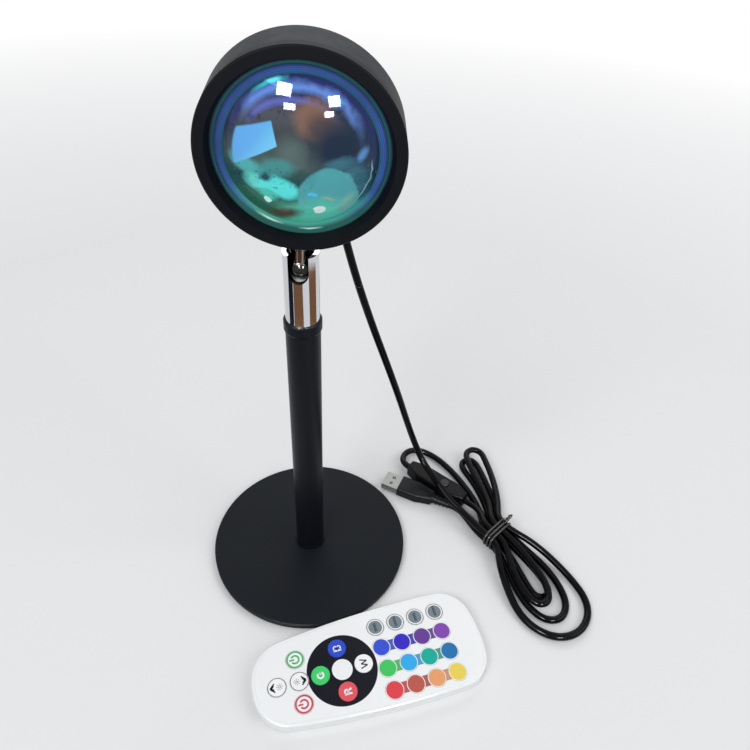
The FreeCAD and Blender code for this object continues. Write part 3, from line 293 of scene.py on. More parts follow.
@dataclass(frozen=True)
class Finish:
    """A painted, moulded or metal surface with its own grain.

    Attributes:
        name: The material's name.
        colour: Its base colour.
        roughness: How dull it is.
        metallic: 1 for bare metal.
        coat: Strength of a clear top layer.
        grain: Grains of the texture per metre.
        relief: Height of the grain in metres.
        mottle: Share by which the colour wanders.
        wander: How much the roughness wanders.
        gloss: Strength of its plain reflection, 0.5 for common plastics.
    """

    name: str
    colour: Colour
    roughness: float
    metallic: float = 0.0
    coat: float = 0.0
    grain: float = 2500.0
    relief: float = 0.00001
    mottle: float = 0.12
    wander: float = 0.06
    gloss: float = 0.5

    def make(self) -> bpy.types.Material:
        """Builds the material."""
        palette = Palette(self.name)
        self.dress(palette)
        return palette.material

    def dress(self, palette: Palette) -> None:
        """Sets the colour, the roughness and the grain of a palette."""
        low, high = toned(self.colour, 1.0 - self.mottle), toned(self.colour, 1.0 + self.mottle)
        palette.set(
            Base_Color=palette.mix(palette.noise(*CLOUDS), low, high),
            Roughness=(palette.noise(*SMEARS) - 0.5) * (2.0 * self.wander) + self.roughness,
            Metallic=self.metallic,
            Coat_Weight=self.coat,
            Specular_IOR_Level=self.gloss,
        )
        if self.relief:
            palette.bump(palette.noise(self.grain), self.relief)


@dataclass(frozen=True)
class SpunMetal(Finish):
    """Bright metal with the fine rings of a lathe about the lamp's axis, and painted shade in the bore, where
    the metal is painted near black.

    Attributes:
        pitch: Distance between the rings.
        shaded_bore: Radius inside which the metal is painted near black, as painted shade.
    """

    pitch: float = 0.00035
    shaded_bore: float = 0.0062

    def dress(self, palette: Palette) -> None:
        """Adds fine level rings to the plain finish and paints shade into the bore."""
        super().dress(palette)
        x, y, height = palette.axes()
        # Painted shade: the metal inside the bore is painted near black.
        inside = length(x, y).under(self.shaded_bore, 0.0004)
        clouds = palette.mix(palette.noise(*CLOUDS), toned(self.colour, 0.97), self.colour)
        palette.set(Base_Color=palette.mix(inside, clouds, (0.045, 0.043, 0.042)))
        palette.bump((height * (2.0 * math.pi / self.pitch)).sine(), self.relief)


@dataclass(frozen=True)
class ShadedBallMetal(Finish):
    """Bright metal painted dark below its neck: painted shade where the ball sits down in the slot.

    Attributes:
        waist: Height below which the painted shade lies.
    """

    waist: float = 0.2095

    def dress(self, palette: Palette) -> None:
        """Paints shade on the ball below its neck."""
        super().dress(palette)
        # Painted shade: near black below the neck.
        low = palette.axes()[2].under(self.waist, 0.0012)
        palette.set(Base_Color=palette.mix(low, self.colour, (0.035, 0.034, 0.033)))


@dataclass(frozen=True)
class FaceMetal(Finish):
    """A disc of bare metal faced on a lathe, about the drum's axis.

    Attributes:
        rings: How fast the height of its rings swings, in radians per metre.
    """

    rings: float = 9000.0

    def dress(self, palette: Palette) -> None:
        """Adds fine rings about the drum's axis to the plain finish."""
        super().dress(palette)
        across, _, up = palette.axes()
        radius = length(across - DRUM_CENTRE[0], up - DRUM_CENTRE[2])
        palette.bump((radius * self.rings).sine(), self.relief)


@dataclass(frozen=True)
class Pool:
    """A soft-edged patch of painted reflection on the lens, in millimetres about its centre.

    Attributes:
        middle: Its centre, to the right and up.
        size: Its half width and half height.
        colour: Its colour.
        softness: How soft its edge is, as a share of its size.
        lean: How far it is turned, in degrees.
    """

    middle: Spot
    size: Spot
    colour: Colour
    softness: float = 0.4
    lean: float = 0.0

    def mask(self, side: Signal, rise: Signal) -> Signal:
        """Where the patch lies."""
        cosine, sine = math.cos(math.radians(self.lean)), math.sin(math.radians(self.lean))
        across, along = side - self.middle[0], rise - self.middle[1]
        wide = (across * cosine + along * sine) / self.size[0]
        tall = (along * cosine - across * sine) / self.size[1]
        return length(wide, tall).under(1.0, self.softness)


@dataclass(frozen=True)
class Hoop(Pool):
    """A stretch of ring of painted reflection on the lens: its size is the ring's radius and width.

    Attributes:
        reach: Where the stretch starts and ends, to the right of the lens's centre.
        upper: Whether it lies in the upper half.
    """

    reach: Spot = (-40.0, 40.0)
    upper: bool = True

    def mask(self, side: Signal, rise: Signal) -> Signal:
        """Where the stretch lies."""
        radius, width = self.size
        far = length(side - self.middle[0], rise - self.middle[1])
        band = far.between(radius - width / 2, radius + width / 2, width * self.softness)
        half = rise.over(0.0, 3.0) if self.upper else rise.under(0.0, 3.0)
        return band * half * side.between(*self.reach, 5.0)


@dataclass(frozen=True)
class PaintedLensReflections(Finish):
    """Clear glass under painted reflections of the room and painted highlights, laid into its colour.

    Attributes:
        right: Direction to the right across the lens.
        rise: Direction up the lens.
        rim: Radius in millimetres at which the dome's painted reflections give way to the rim's.
        reflection_wash: Ground colours of the dome's painted reflection, from its bottom to its top.
        reflection_pools: Patches of painted reflection on the dome; the two white ones are painted
            highlights.
        reflection_haze: Faint stretches of ring of painted reflection under the patches.
        bright_reflection_arcs: Bright stretches of ring of painted reflection over them.
        rim_highlights: Thin painted highlights on the rim.
        rings: Ground colours of the rim's painted reflection, from its inside outwards.
    """

    right: Point = (0.9955, -0.0830, -0.0452)
    rise: Point = (0.0388, -0.0776, 0.9962)
    rim: float = 28.9
    # Painted reflection of the room: ground colours of the dome from bottom to top.
    reflection_wash: Sequence[tuple[float, Colour]] = (
        (0.0, (0.06, 0.34, 0.22)), (0.2, (0.035, 0.15, 0.12)), (0.36, (0.025, 0.10, 0.11)),
        (0.5, (0.075, 0.12, 0.12)), (0.64, (0.050, 0.066, 0.070)), (0.78, (0.085, 0.090, 0.115)),
        (0.88, (0.035, 0.045, 0.110)), (1.0, (0.010, 0.025, 0.090)),
    )
    # Patches of painted reflection on the dome.
    reflection_pools: Sequence[Pool] = (
        Pool((0.0, -27.0), (18.0, 8.0), (0.10, 0.62, 0.42), 0.9),
        Pool((-14.0, -20.0), (10.0, 5.0), (0.03, 0.16, 0.11), 0.8, -35.0),
        Pool((4.5, 16.0), (6.5, 6.0), (0.27, 0.15, 0.10), 0.7),
        Pool((8.0, 13.0), (7.0, 5.0), (0.14, 0.09, 0.08), 0.9, -30.0),
        Pool((13.0, 7.0), (9.0, 9.0), (0.012, 0.028, 0.060), 1.1, -40.0),
        Pool((-3.5, 4.0), (4.5, 5.0), (0.11, 0.16, 0.16), 1.2),
        Pool((22.5, 3.5), (2.6, 1.4), (0.12, 0.30, 0.62), 1.2, 60.0),
        Pool((14.0, 0.5), (5.0, 2.2), (0.05, 0.17, 0.24), 0.9, 12.0),
        Pool((-18.0, -4.6), (8.5, 3.6), (0.09, 0.46, 0.47), 0.5, -28.0),
        Pool((-9.0, -2.6), (6.5, 3.6), (0.07, 0.30, 0.30), 0.7, 10.0),
        Pool((-15.5, -10.0), (5.5, 3.2), (0.17, 0.78, 0.70), 0.7, -20.0),
        Pool((-8.0, -10.6), (8.0, 4.4), (0.12, 0.86, 0.84), 0.45, -14.0),
        Pool((-12.6, -14.6), (3.6, 2.2), (0.08, 0.60, 0.50), 0.7, -20.0),
        Pool((-12.8, -6.6), (2.0, 1.4), (0.03, 0.10, 0.12), 0.9),
        Pool((20.0, -6.5), (5.5, 7.0), (0.045, 0.16, 0.22), 0.7, 20.0),
        Pool((10.8, -14.6), (11.8, 13.4), (0.09, 0.40, 0.44), 0.07),
        Pool((9.0, -23.0), (10.5, 7.5), (0.12, 0.66, 0.50), 0.9),
        Pool((18.0, -17.5), (2.6, 5.0), (0.20, 0.52, 0.44), 0.9, -25.0),
        Pool((-6.5, -23.5), (6.5, 2.6), (0.09, 0.085, 0.06), 0.9, 12.0),
        Pool((4.4, -12.6), (1.8, 1.1), (0.08, 0.62, 1.0), 0.3, -8.0),
        Pool((10.5, -14.6), (2.6, 0.6), (0.40, 0.46, 0.34), 0.9, -8.0),
        # Painted highlights: two white spots where lamps would shine back.
        Pool((7.5, -20.0), (2.7, 1.7), (0.85, 1.0, 1.0), 0.15, 6.0),
        Pool((-12.6, -17.1), (1.8, 1.3), (0.60, 1.0, 0.92), 0.2, -10.0),
    )
    # Faint stretches of painted reflection under the patches.
    reflection_haze: Sequence[Hoop] = (
        Hoop((0.0, 0.0), (27.6, 2.6), (0.02, 0.035, 0.20), 0.9, reach=(-26.0, 27.0)),
        Hoop((-1.0, 0.5), (25.2, 2.6), (0.17, 0.34, 0.92), 0.8, reach=(-20.0, 21.0)),
        Hoop((-2.0, 0.0), (21.6, 1.9), (0.14, 0.17, 0.60), 0.9, reach=(-18.0, 12.0)),
    )
    # Bright stretches of painted reflection over the patches.
    bright_reflection_arcs: Sequence[Hoop] = (
        Hoop((0.0, 0.0), (28.1, 1.1), (0.04, 0.72, 0.80), 0.5, reach=(-15.5, -6.5)),
        Hoop((0.5, -1.0), (26.0, 0.6), (0.24, 0.48, 0.60), 0.5, reach=(13.0, 30.0), upper=False),
        Hoop((0.0, 0.0), (28.6, 1.3), (0.05, 0.55, 0.55), 0.6, reach=(9.0, 24.0), upper=False),
    )
    # Painted highlights: thin bright stretches on the rim.
    rim_highlights: Sequence[Hoop] = (
        Hoop((0.0, 0.0), (30.7, 0.9), (0.60, 1.0, 0.85), 0.4, reach=(-16.0, -9.0), upper=False),
        Hoop((0.0, 0.0), (31.6, 0.7), (0.60, 1.0, 0.88), 0.4, reach=(1.0, 7.0), upper=False),
    )
    # Ground colours of the rim's painted reflection.
    rings: Sequence[tuple[float, Colour]] = (
        (0.0, (0.012, 0.030, 0.07)), (0.16, (0.035, 0.150, 0.34)), (0.32, (0.040, 0.160, 0.48)),
        (0.44, (0.090, 0.110, 0.50)), (0.52, (0.025, 0.110, 0.36)), (0.62, (0.010, 0.050, 0.12)),
        (0.74, (0.025, 0.170, 0.150)), (0.84, (0.012, 0.035, 0.055)),
    )

    def dress(self, palette: Palette) -> None:
        """Lays the painted reflections over clear glass."""
        offsets = [axis - shift for axis, shift in zip(palette.axes(), DRUM_CENTRE)]
        side, rise = self.along(offsets, self.right), self.along(offsets, self.rise)
        wobble = (palette.noise(160.0, 3.0, 0.6) - 0.5) * 3.4
        edge = length(side, rise).over(self.rim, 0.8)
        dome = self.dome(palette, side, rise, wobble)
        painted_reflection = palette.mix(edge, dome, self.border(palette, side, rise, wobble))
        palette.set(Base_Color=(0.86, 0.92, 0.95), Roughness=0.0, IOR=1.5, Transmission_Weight=1.0)
        reflection_layer = palette.add("BsdfPrincipled", Base_Color=painted_reflection, Roughness=0.04, Metallic=0.08,
                            Specular_IOR_Level=0.13)
        palette.cover(edge * 0.03 + 0.94, reflection_layer)

    def dome(self, palette: Palette, side: Signal, rise: Signal, wobble: Signal) -> bpy.types.NodeSocket:
        """The painted reflections inside the rim, layer on layer.

        Every length is in millimetres. Each set of specks gives its scale, octaves, roughness, gain and cut.

        Args:
            palette: The lens's palette.
            side: Millimetres to the right of the lens's centre.
            rise: Millimetres above it.
            wobble: How far the patches wander, in millimetres.

        Returns:
            The painted reflection's colour.
        """
        across, up, radius = side + wobble, rise + wobble, length(side, rise)
        fringe = radius.between(14.0, 28.0, 5.0)
        # Specks and stripes that break up the painted reflections.
        reflection_flecks = palette.specks(420.0, 4.0, 0.7, 7.0, 3.6) * fringe * across.over(4.0, 16.0)
        dark_reflection_flecks = palette.specks(300.0, 4.0, 0.65, 7.0, 3.8) * fringe
        broken_reflection = palette.specks(520.0, 4.0, 0.7, 8.0, 4.6) * up.under(-1.0, 5.0) * across.under(4.0, 6.0)
        reflection_streaks = palette.specks(620.0, 3.0, 0.6, 8.0, 4.9) * up.under(0.0, 8.0) * across.over(4.0, 6.0)
        # A painted reflection of the room's glazing, in two blues.
        window_reflection = (side + rise * 0.25).under(-6.9, 0.5) * (rise - side * 0.618).over(11.2, 0.5)
        window_reflection = window_reflection * (rise - side * 0.353).under(18.0, 0.8) * radius.under(25.2, 0.8)
        height = (side * 0.06 - up * 0.05 + 1.4).clamped()
        layers = (
            (reflection_flecks * 0.8, (0.050, 0.110, 0.30)),
            (dark_reflection_flecks * 0.85, (0.004, 0.005, 0.008)),
            (across.over(13.0, 12.0) * 0.75, (0.018, 0.038, 0.075)),
            *((hoop.mask(across, up) * 0.85, hoop.colour) for hoop in self.reflection_haze),
            *((pool.mask(across, up), pool.colour) for pool in self.reflection_pools),
            (broken_reflection * radius.under(28.0, 4.0) * 0.75, (0.012, 0.035, 0.045)),
            (reflection_streaks * 0.5, (0.10, 0.62, 0.46)),
            (window_reflection, palette.mix(height, (0.14, 0.46, 0.92), (0.25, 0.80, 1.0))),
            *((hoop.mask(across, up), hoop.colour) for hoop in self.bright_reflection_arcs),
        )
        painted_reflection = palette.ramp((up / 60.0 + 0.5).clamped(), self.reflection_wash)
        for mask, colour in layers:
            painted_reflection = palette.mix(mask, painted_reflection, colour)
        return painted_reflection

    def border(self, palette: Palette, side: Signal, rise: Signal, wobble: Signal) -> bpy.types.NodeSocket:
        """The painted reflections on the rim: its rings, green at the bottom, with its sparks, thin painted
        highlights.

        Args:
            palette: The lens's palette.
            side: Millimetres to the right of the lens's centre.
            rise: Millimetres above it.
            wobble: How far the patches wander, in millimetres.

        Returns:
            The picture's colour.
        """
        radius = length(side, rise)
        lines = (radius * 9.0 + wobble * 0.4).sine().over(0.55, 0.5)
        green = palette.mix(radius.over(30.6, 1.8), (0.11, 0.56, 0.38), (0.04, 0.19, 0.15))
        across, up = side + wobble * 0.15, rise + wobble * 0.15
        layers = (
            (lines * 0.45, (0.010, 0.022, 0.050)),
            (palette.specks(45.0, 3.0, 0.5, 2.4, 0.85) * 0.6, (0.012, 0.050, 0.11)),
            ((rise + wobble).under(-19.0, 14.0) * 0.8, green),
            # Painted highlights on the rim.
            *((hoop.mask(across, up), hoop.colour) for hoop in self.rim_highlights),
        )
        painted_reflection = palette.ramp((radius - 28.5) / 6.0, self.rings)
        for mask, colour in layers:
            painted_reflection = palette.mix(mask, painted_reflection, colour)
        return painted_reflection

    @staticmethod
    def along(offsets: Sequence[Signal], way: Point) -> Signal:
        """How far a spot lies along a direction, in millimetres."""
        parts = [offset * (share / MM) for offset, share in zip(offsets, way)]
        return parts[0] + parts[1] + parts[2]


@dataclass(frozen=True)
class RemotePrint(Finish):
    """The remote's printed film: a round black pad and colour strips between the keys.

    Attributes:
        pad: The black pad's inner and outer radius.
        strip: Half the width of a colour strip.
        clear: Radius of the plain film round a key on a strip.
    """

    pad: Spot = (0.0056, 0.0192)
    strip: float = 0.0030
    clear: float = 0.0052

    @staticmethod
    def local(palette: Palette) -> tuple[Signal, Signal]:
        """The film's own coordinates, from the middle of the round pad."""
        x, y, _ = palette.axes()
        x, y = x - REMOTE_CENTRE[0], y - REMOTE_CENTRE[1]
        cosine, sine = math.cos(REMOTE_HEADING), math.sin(REMOTE_HEADING)
        return x * cosine + y * sine - PAD_ACROSS, y * cosine - x * sine - ROW_SHIFT

    def dress(self, palette: Palette) -> None:
        """Prints the film in layers."""
        super().dress(palette)
        across, along = self.local(palette)
        ink = palette.mix(palette.noise(60.0), (0.86, 0.87, 0.87), WHITE)
        step = (across / KEY_PITCH - 2.0) / 3.0
        strips = across.between(2.0 * KEY_PITCH, 5.0 * KEY_PITCH, 0.0002)
        for row, shades in COLOUR_ROWS.values():
            stops = [(number / 3.0, soften(shade)) for number, shade in enumerate(shades[:3])]
            aside = along - row * KEY_PITCH
            band = abs(aside).under(self.strip, 0.0002) * strips
            ink = palette.mix(band, ink, palette.ramp(step, stops, stepped=True))
            for column in range(2, 6):
                gap = length(across - column * KEY_PITCH, aside)
                ink = palette.mix(gap.under(self.clear, 0.0001), ink, WHITE)
        pad = length(across, along).between(*self.pad, 0.00015)
        palette.set(Base_Color=palette.mix(pad, ink, (0.006, 0.007, 0.012)))


@dataclass(frozen=True)
class KeyCap(Finish):
    """A coloured key with a thin white rim.

    Attributes:
        centre: The key's centre in the lamp's frame.
        rim: Where the white rim starts.
    """

    centre: Spot = (0.0, 0.0)
    rim: float = 0.00462

    def dress(self, palette: Palette) -> None:
        """Prints the rim round the plain colour."""
        super().dress(palette)
        x, y, _ = palette.axes()
        far = length(x - self.centre[0], y - self.centre[1])
        clouds = palette.mix(palette.noise(900.0, 3.0), toned(self.colour, 0.9), self.colour)
        palette.set(Base_Color=palette.mix(far.over(self.rim, 0.00012), clouds, WHITE))


def soften(colour: Colour) -> Colour:
    """The paler, greyer print of a strip between two keys."""
    return tuple(share * 0.70 + 0.05 for share in colour)


WHITE = (0.90, 0.90, 0.90)
PAD_KEYS: dict[str, Colour] = {
    "blue": (0.02, 0.07, 0.60), "red": (0.76, 0.09, 0.12), "green": (0.05, 0.62, 0.15),
    **dict.fromkeys(("white", "on", "off", "dim", "bright"), WHITE),
}
# Where each row of coloured keys stands, in pitches from the round pad's middle, and its keys' colours.
COLOUR_ROWS: dict[str, tuple[float, Sequence[Colour]]] = {
    "violet": (0.5, ((0.035, 0.08, 0.66), (0.03, 0.015, 0.55), (0.13, 0.04, 0.30), (0.22, 0.06, 0.42))),
    "teal": (-0.5, ((0.05, 0.58, 0.12), (0.03, 0.42, 0.85), (0.0, 0.42, 0.33), (0.01, 0.17, 0.43))),
    "orange": (-1.5, ((0.76, 0.055, 0.07), (0.52, 0.10, 0.07), (0.85, 0.36, 0.15), (0.87, 0.66, 0.10))),
}


class Shop(Enum):
    """The lamp's finishes."""

    BASE = Finish("base_satin_black", (0.007, 0.009, 0.012), 0.46, relief=0.000012, grain=3200.0, gloss=0.09)
    FOAM = Finish("foot_foam", (0.03, 0.03, 0.03), 0.95, relief=0.00012, grain=1500.0)
    STEEL = Finish("zinc_steel", (0.56, 0.56, 0.55), 0.34, metallic=1.0)
    POLE = Finish("pole_satin_black", (0.004, 0.005, 0.008), 0.34, relief=0.000006, gloss=0.11)
    CHROME = SpunMetal("swivel_chrome", (0.72, 0.73, 0.75), 0.06, metallic=1.0, relief=0.0000004, wander=0.02)
    # The ball's colour is taken down from chrome and tinted brown: a painted reflection of brown
    # surroundings.
    BALL = ShadedBallMetal("ball_chrome", (0.30, 0.27, 0.245), 0.09, metallic=1.0, relief=0.0)
    ACETAL = Finish("seat_acetal", (0.80, 0.80, 0.76), 0.45)
    HEAD = Finish("head_matte_black", (0.009, 0.013, 0.017), 0.56, relief=0.00001, grain=3600.0, gloss=0.12)
    RING = Finish("ring_matte_black", (0.003, 0.004, 0.007), 0.50, relief=0.00001, grain=3600.0, gloss=0.07)
    # The lens: clear glass under painted reflections and painted highlights.
    LENS = PaintedLensReflections("lens_painted_reflections", (0.9, 0.9, 0.9), 0.0)
    SINK = FaceMetal("sink_black_anodised", (0.03, 0.03, 0.034), 0.4, metallic=0.7, relief=0.000004,
                     gloss=0.2)
    BOARD = Finish("led_board_white", (0.82, 0.83, 0.82), 0.4)
    LED = Finish("led_phosphor", (0.90, 0.66, 0.14), 0.35, coat=0.6)
    LEADS = Finish("lead_insulation", (0.45, 0.03, 0.02), 0.45)
    COVER = Finish("cover_matte_black", (0.008, 0.009, 0.011), 0.62, relief=0.00003, grain=1800.0, gloss=0.16)
    CORD = Finish("cord_gloss_black", (0.002, 0.002, 0.003), 0.13, relief=0.000008, grain=700.0, gloss=0.10)
    TIE = Finish("tie_black", (0.004, 0.004, 0.005), 0.28, relief=0.00002, grain=900.0, gloss=0.05)
    SWITCH = Finish("switch_satin_black", (0.004, 0.004, 0.005), 0.36, relief=0.000015, grain=2400.0,
                    gloss=0.1)
    BUTTON = Finish("button_satin_black", (0.012, 0.012, 0.014), 0.36, relief=0.00001, gloss=0.25)
    GREEN_BOARD = Finish("board_green", (0.02, 0.17, 0.06), 0.35, coat=0.3)
    PLUG = Finish("plug_satin_black", (0.005, 0.006, 0.008), 0.36, relief=0.000015, grain=2400.0, gloss=0.14)
    SHELL = Finish("plug_nickel", (0.20, 0.21, 0.20), 0.36, metallic=1.0, relief=0.000003)
    TONGUE = Finish("tongue_white", (0.86, 0.86, 0.86), 0.4)
    CASE = Finish("remote_gloss_white", (0.86, 0.87, 0.87), 0.22, coat=0.4, relief=0.000004, mottle=0.02)
    FILM = RemotePrint("remote_print", (0.88, 0.88, 0.88), 0.32, relief=0.000006, mottle=0.02, gloss=0.14)
    TRAY = Finish("tray_white", (0.84, 0.85, 0.85), 0.35, mottle=0.03)
    CELL = Finish("cell_steel", (0.70, 0.70, 0.69), 0.25, metallic=1.0)

    def material(self) -> bpy.types.Material:
        """The finish's material, built once."""
        return bpy.data.materials.get(self.value.name) or self.value.make()


def paint(node: str, material: bpy.types.Material) -> None:
    """Gives a carried-over node a finish.

    Args:
        node: The node's name.
        material: The finish.
    """
    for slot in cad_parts[node].material_slots:
        slot.material = material


# --- Mesh pieces ---
def piece(name: str, form: bmesh.types.BMesh, material: bpy.types.Material, smooth: bool = True
          ) -> bpy.types.Object:
    """Turns a bmesh into a scene piece.

    Args:
        name: The piece's name.
        form: Its mesh, which is used up.
        material: Its finish.
        smooth: Whether it is shaded smooth.

    Returns:
        The piece, at the origin.
    """
    mesh = bpy.data.meshes.new(name)
    for face in form.faces:
        face.smooth = smooth
    form.to_mesh(mesh)
    form.free()
    mesh.materials.append(material)
    item = bpy.data.objects.new(name, mesh)
    bpy.context.collection.objects.link(item)
    return item


@dataclass
class Strand:
    """A smooth line of cord or wire through a row of control points.

    Attributes:
        name: The name of what is made from it.
        points: The control points, in metres.
        radius: The cord's radius.
        steps: Points of the line per control point.
        sides: Quarter-turn steps of the cord's section.
    """

    name: str
    points: Sequence[Point]
    radius: float
    steps: int = 10
    sides: int = 3

    def mesh(self, bare: bool = False) -> bpy.types.Mesh:
        """The cord as a mesh: a tube, or its bare line."""
        curve = bpy.data.curves.new(f"{self.name}_line", "CURVE")
        curve.dimensions = "3D"
        spline = curve.splines.new("NURBS")
        spline.points.add(len(self.points) - 1)
        for control, spot in zip(spline.points, self.points):
            control.co = (*spot, 1.0)
        spline.order_u = 3
        spline.use_endpoint_u = True
        spline.resolution_u = self.steps
        curve.bevel_depth = 0.0 if bare else self.radius
        curve.bevel_resolution = self.sides
        curve.use_fill_caps = True
        holder = bpy.data.objects.new(curve.name, curve)
        mesh = bpy.data.meshes.new_from_object(holder)
        bpy.data.objects.remove(holder)
        bpy.data.curves.remove(curve)
        return mesh

    def line(self) -> list[Vector]:
        """The points along the line."""
        mesh = self.mesh(bare=True)
        spots = [vertex.co.copy() for vertex in mesh.vertices]
        bpy.data.meshes.remove(mesh)
        return spots

    def tube(self) -> bmesh.types.BMesh:
        """The solid cord."""
        mesh = self.mesh()
        form = bmesh.new()
        form.from_mesh(mesh)
        bpy.data.meshes.remove(mesh)
        return form


def millimetres(*points: Point) -> Sequence[Point]:
    """Points given in millimetres, in metres."""
    return tuple(tuple(round(part * MM, 7) for part in point) for point in points)


@dataclass
class Cord:
    """The USB cord: from the head down to a tied hank, through the switch and on to the plug.

    Attributes:
        radius: The cord's radius.
        parting: Height at which the cord is parted.
        gap: How far above and below the parting its two bends end and start; not used.
        settled: Where its lower bend ends, near the table; not used.
        drop: Control points from the head to the hank.
        hank: Control points of the hank's upper turns, up to the switch.
        tail: Control points from the switch, through the lower turns, to the plug.
    """

    radius: float = 0.0022
    parting: float = 0.165
    gap: float = 0.012
    settled: Point = (0.0730, 0.0525, 0.0340)
    drop: Sequence[Point] = millimetres(
        (6.4, 17.2, 249.4), (7.4, 28.2, 250.2), (12.5, 41.5, 236.5), (18.0, 47.0, 215.0),
        (23.5, 46.5, 191.0), (30.5, 47.5, 165.0), (39.5, 47.0, 137.0), (49.5, 47.5, 108.0),
        (58.5, 48.5, 81.0), (66.0, 51.0, 56.0), (73.0, 52.5, 34.0), (79.5, 46.5, 19.5), (84.5, 36.5, 17.0),
        (89.0, 27.0, 14.5), (95.0, 18.0, 10.6), (101.5, 9.5, 9.0), (107.0, 1.5, 8.7),
    )
    hank: Sequence[Point] = millimetres(
        (109.3, -3.0, 8.7), (119.0, -16.3, 8.7), (117.0, -31.0, 7.0), (118.2, -46.0, 4.4),
        (121.5, -61.0, 2.5), (129.0, -72.0, 2.3), (140.5, -78.0, 2.3), (153.0, -76.5, 2.3),
        (162.5, -68.0, 2.3), (166.0, -56.0, 2.3), (161.5, -41.5, 2.3), (152.0, -26.5, 4.6),
        (141.5, -15.5, 7.6), (131.1, -7.4, 8.7), (124.0, 2.3, 8.7), (127.8, 16.0, 7.8), (129.5, 31.0, 7.4),
        (129.2, 44.5, 7.4), (128.2, 55.0, 7.4), (127.0, 63.0, 7.4), (121.0, 66.4, 7.4), (115.2, 62.5, 7.4),
        (115.5, 54.0, 7.4), (116.8, 44.0, 7.4), (119.5, 30.5, 7.4), (121.8, 15.0, 7.8), (119.1, 0.5, 8.7),
        (127.1, -10.4, 8.7), (132.5, -20.0, 7.8), (138.5, -33.0, 7.4), (142.5, -46.5, 7.4),
        (140.5, -58.5, 7.4), (131.5, -59.0, 7.4), (126.5, -47.0, 7.4), (124.2, -34.0, 7.4),
        (124.2, -22.5, 8.0), (123.0, -13.3, 8.7), (114.2, -1.2, 8.7), (114.4, 8.5, 7.4), (112.2, 15.0, 6.0),
        (109.3, 18.9, 5.0), (106.1, 22.0, 5.0),
    )
    tail: Sequence[Point] = millimetres(
        (72.9, 53.8, 5.0), (68.6, 58.0, 5.0), (69.3, 65.5, 4.6), (75.5, 71.3, 4.0), (84.5, 71.2, 3.0),
        (94.5, 63.8, 2.3), (103.0, 51.0, 2.3), (110.0, 35.0, 2.3), (114.2, 21.5, 2.3), (115.4, 8.5, 2.6),
        (114.2, -1.2, 3.7), (123.0, -13.3, 3.7), (127.8, -25.0, 2.4), (130.8, -38.0, 2.3),
        (134.0, -50.5, 2.3), (140.4, -52.6, 2.3), (145.2, -48.0, 2.3), (141.8, -36.0, 2.3),
        (134.6, -22.5, 2.4), (127.1, -10.4, 3.7), (119.1, 0.5, 3.7), (121.0, 12.5, 2.6), (119.5, 27.0, 2.3),
        (115.7, 42.0, 2.3), (110.6, 55.0, 2.3), (115.2, 60.8, 2.3), (122.0, 59.0, 2.3), (124.6, 45.5, 2.3),
        (126.6, 30.5, 2.3), (127.8, 15.0, 2.6), (124.0, 2.3, 3.7), (131.1, -7.4, 3.7), (139.0, -18.6, 2.5),
        (147.0, -31.0, 2.3), (152.0, -44.0, 2.3), (153.0, -57.5, 2.3), (146.5, -67.0, 2.3),
        (136.0, -66.5, 2.3), (128.5, -57.5, 2.3), (124.3, -44.5, 2.3), (122.0, -30.5, 2.4),
        (119.0, -16.3, 3.7), (109.3, -3.0, 3.7), (105.6, 8.4, 2.4), (100.6, 16.6, 3.9), (95.0, 19.9, 3.9),
    )

    def build(self) -> list[bpy.types.Object]:
        """Lays the cord.

        Returns:
            Its three lengths: two from the head to the switch, and the tail.
        """
        first = Strand("cord_to_switch", (*self.drop, *self.hank), self.radius)
        line = first.line()
        crossing = next(number for number, spot in enumerate(line) if spot.z < self.parting)
        above, below = line[crossing - 1], line[crossing]
        share = (above.z - self.parting) / (above.z - below.z)
        seam = above.lerp(below, share)
        run = (below - above).normalized()

        upper = self.part(first.tube(), seam, run, keep_upper=True)
        lower = self.part(first.tube(), seam, run, keep_upper=False)
        finish = Shop.CORD.material()
        top = piece("cord_at_head", upper, finish)
        low = piece("cord_to_hank", lower, finish)
        last = Strand("cord_tail_line", self.tail, self.radius)
        tail = piece("cord_after_switch", last.tube(), finish)

        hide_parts("cord_drop", "cord_hank")
        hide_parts("cord_tail")
        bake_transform(top)
        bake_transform(low)
        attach(tail, "stand")

        last.line()
        return [top, low, tail]

    @staticmethod
    def part(form: bmesh.types.BMesh, spot: Vector, run: Vector, keep_upper: bool) -> bmesh.types.BMesh:
        """Cuts the cord across at a spot and closes the cut.

        Args:
            form: The whole cord.
            spot: Where it is cut.
            run: Its direction there.
            keep_upper: Whether the part before the cut stays.

        Returns:
            The part that stays.
        """
        bmesh.ops.bisect_plane(form, geom=[*form.verts, *form.edges, *form.faces], plane_co=spot,
                               plane_no=run, clear_inner=not keep_upper, clear_outer=keep_upper)
        bmesh.ops.holes_fill(form, edges=[edge for edge in form.edges if edge.is_boundary])
        return form


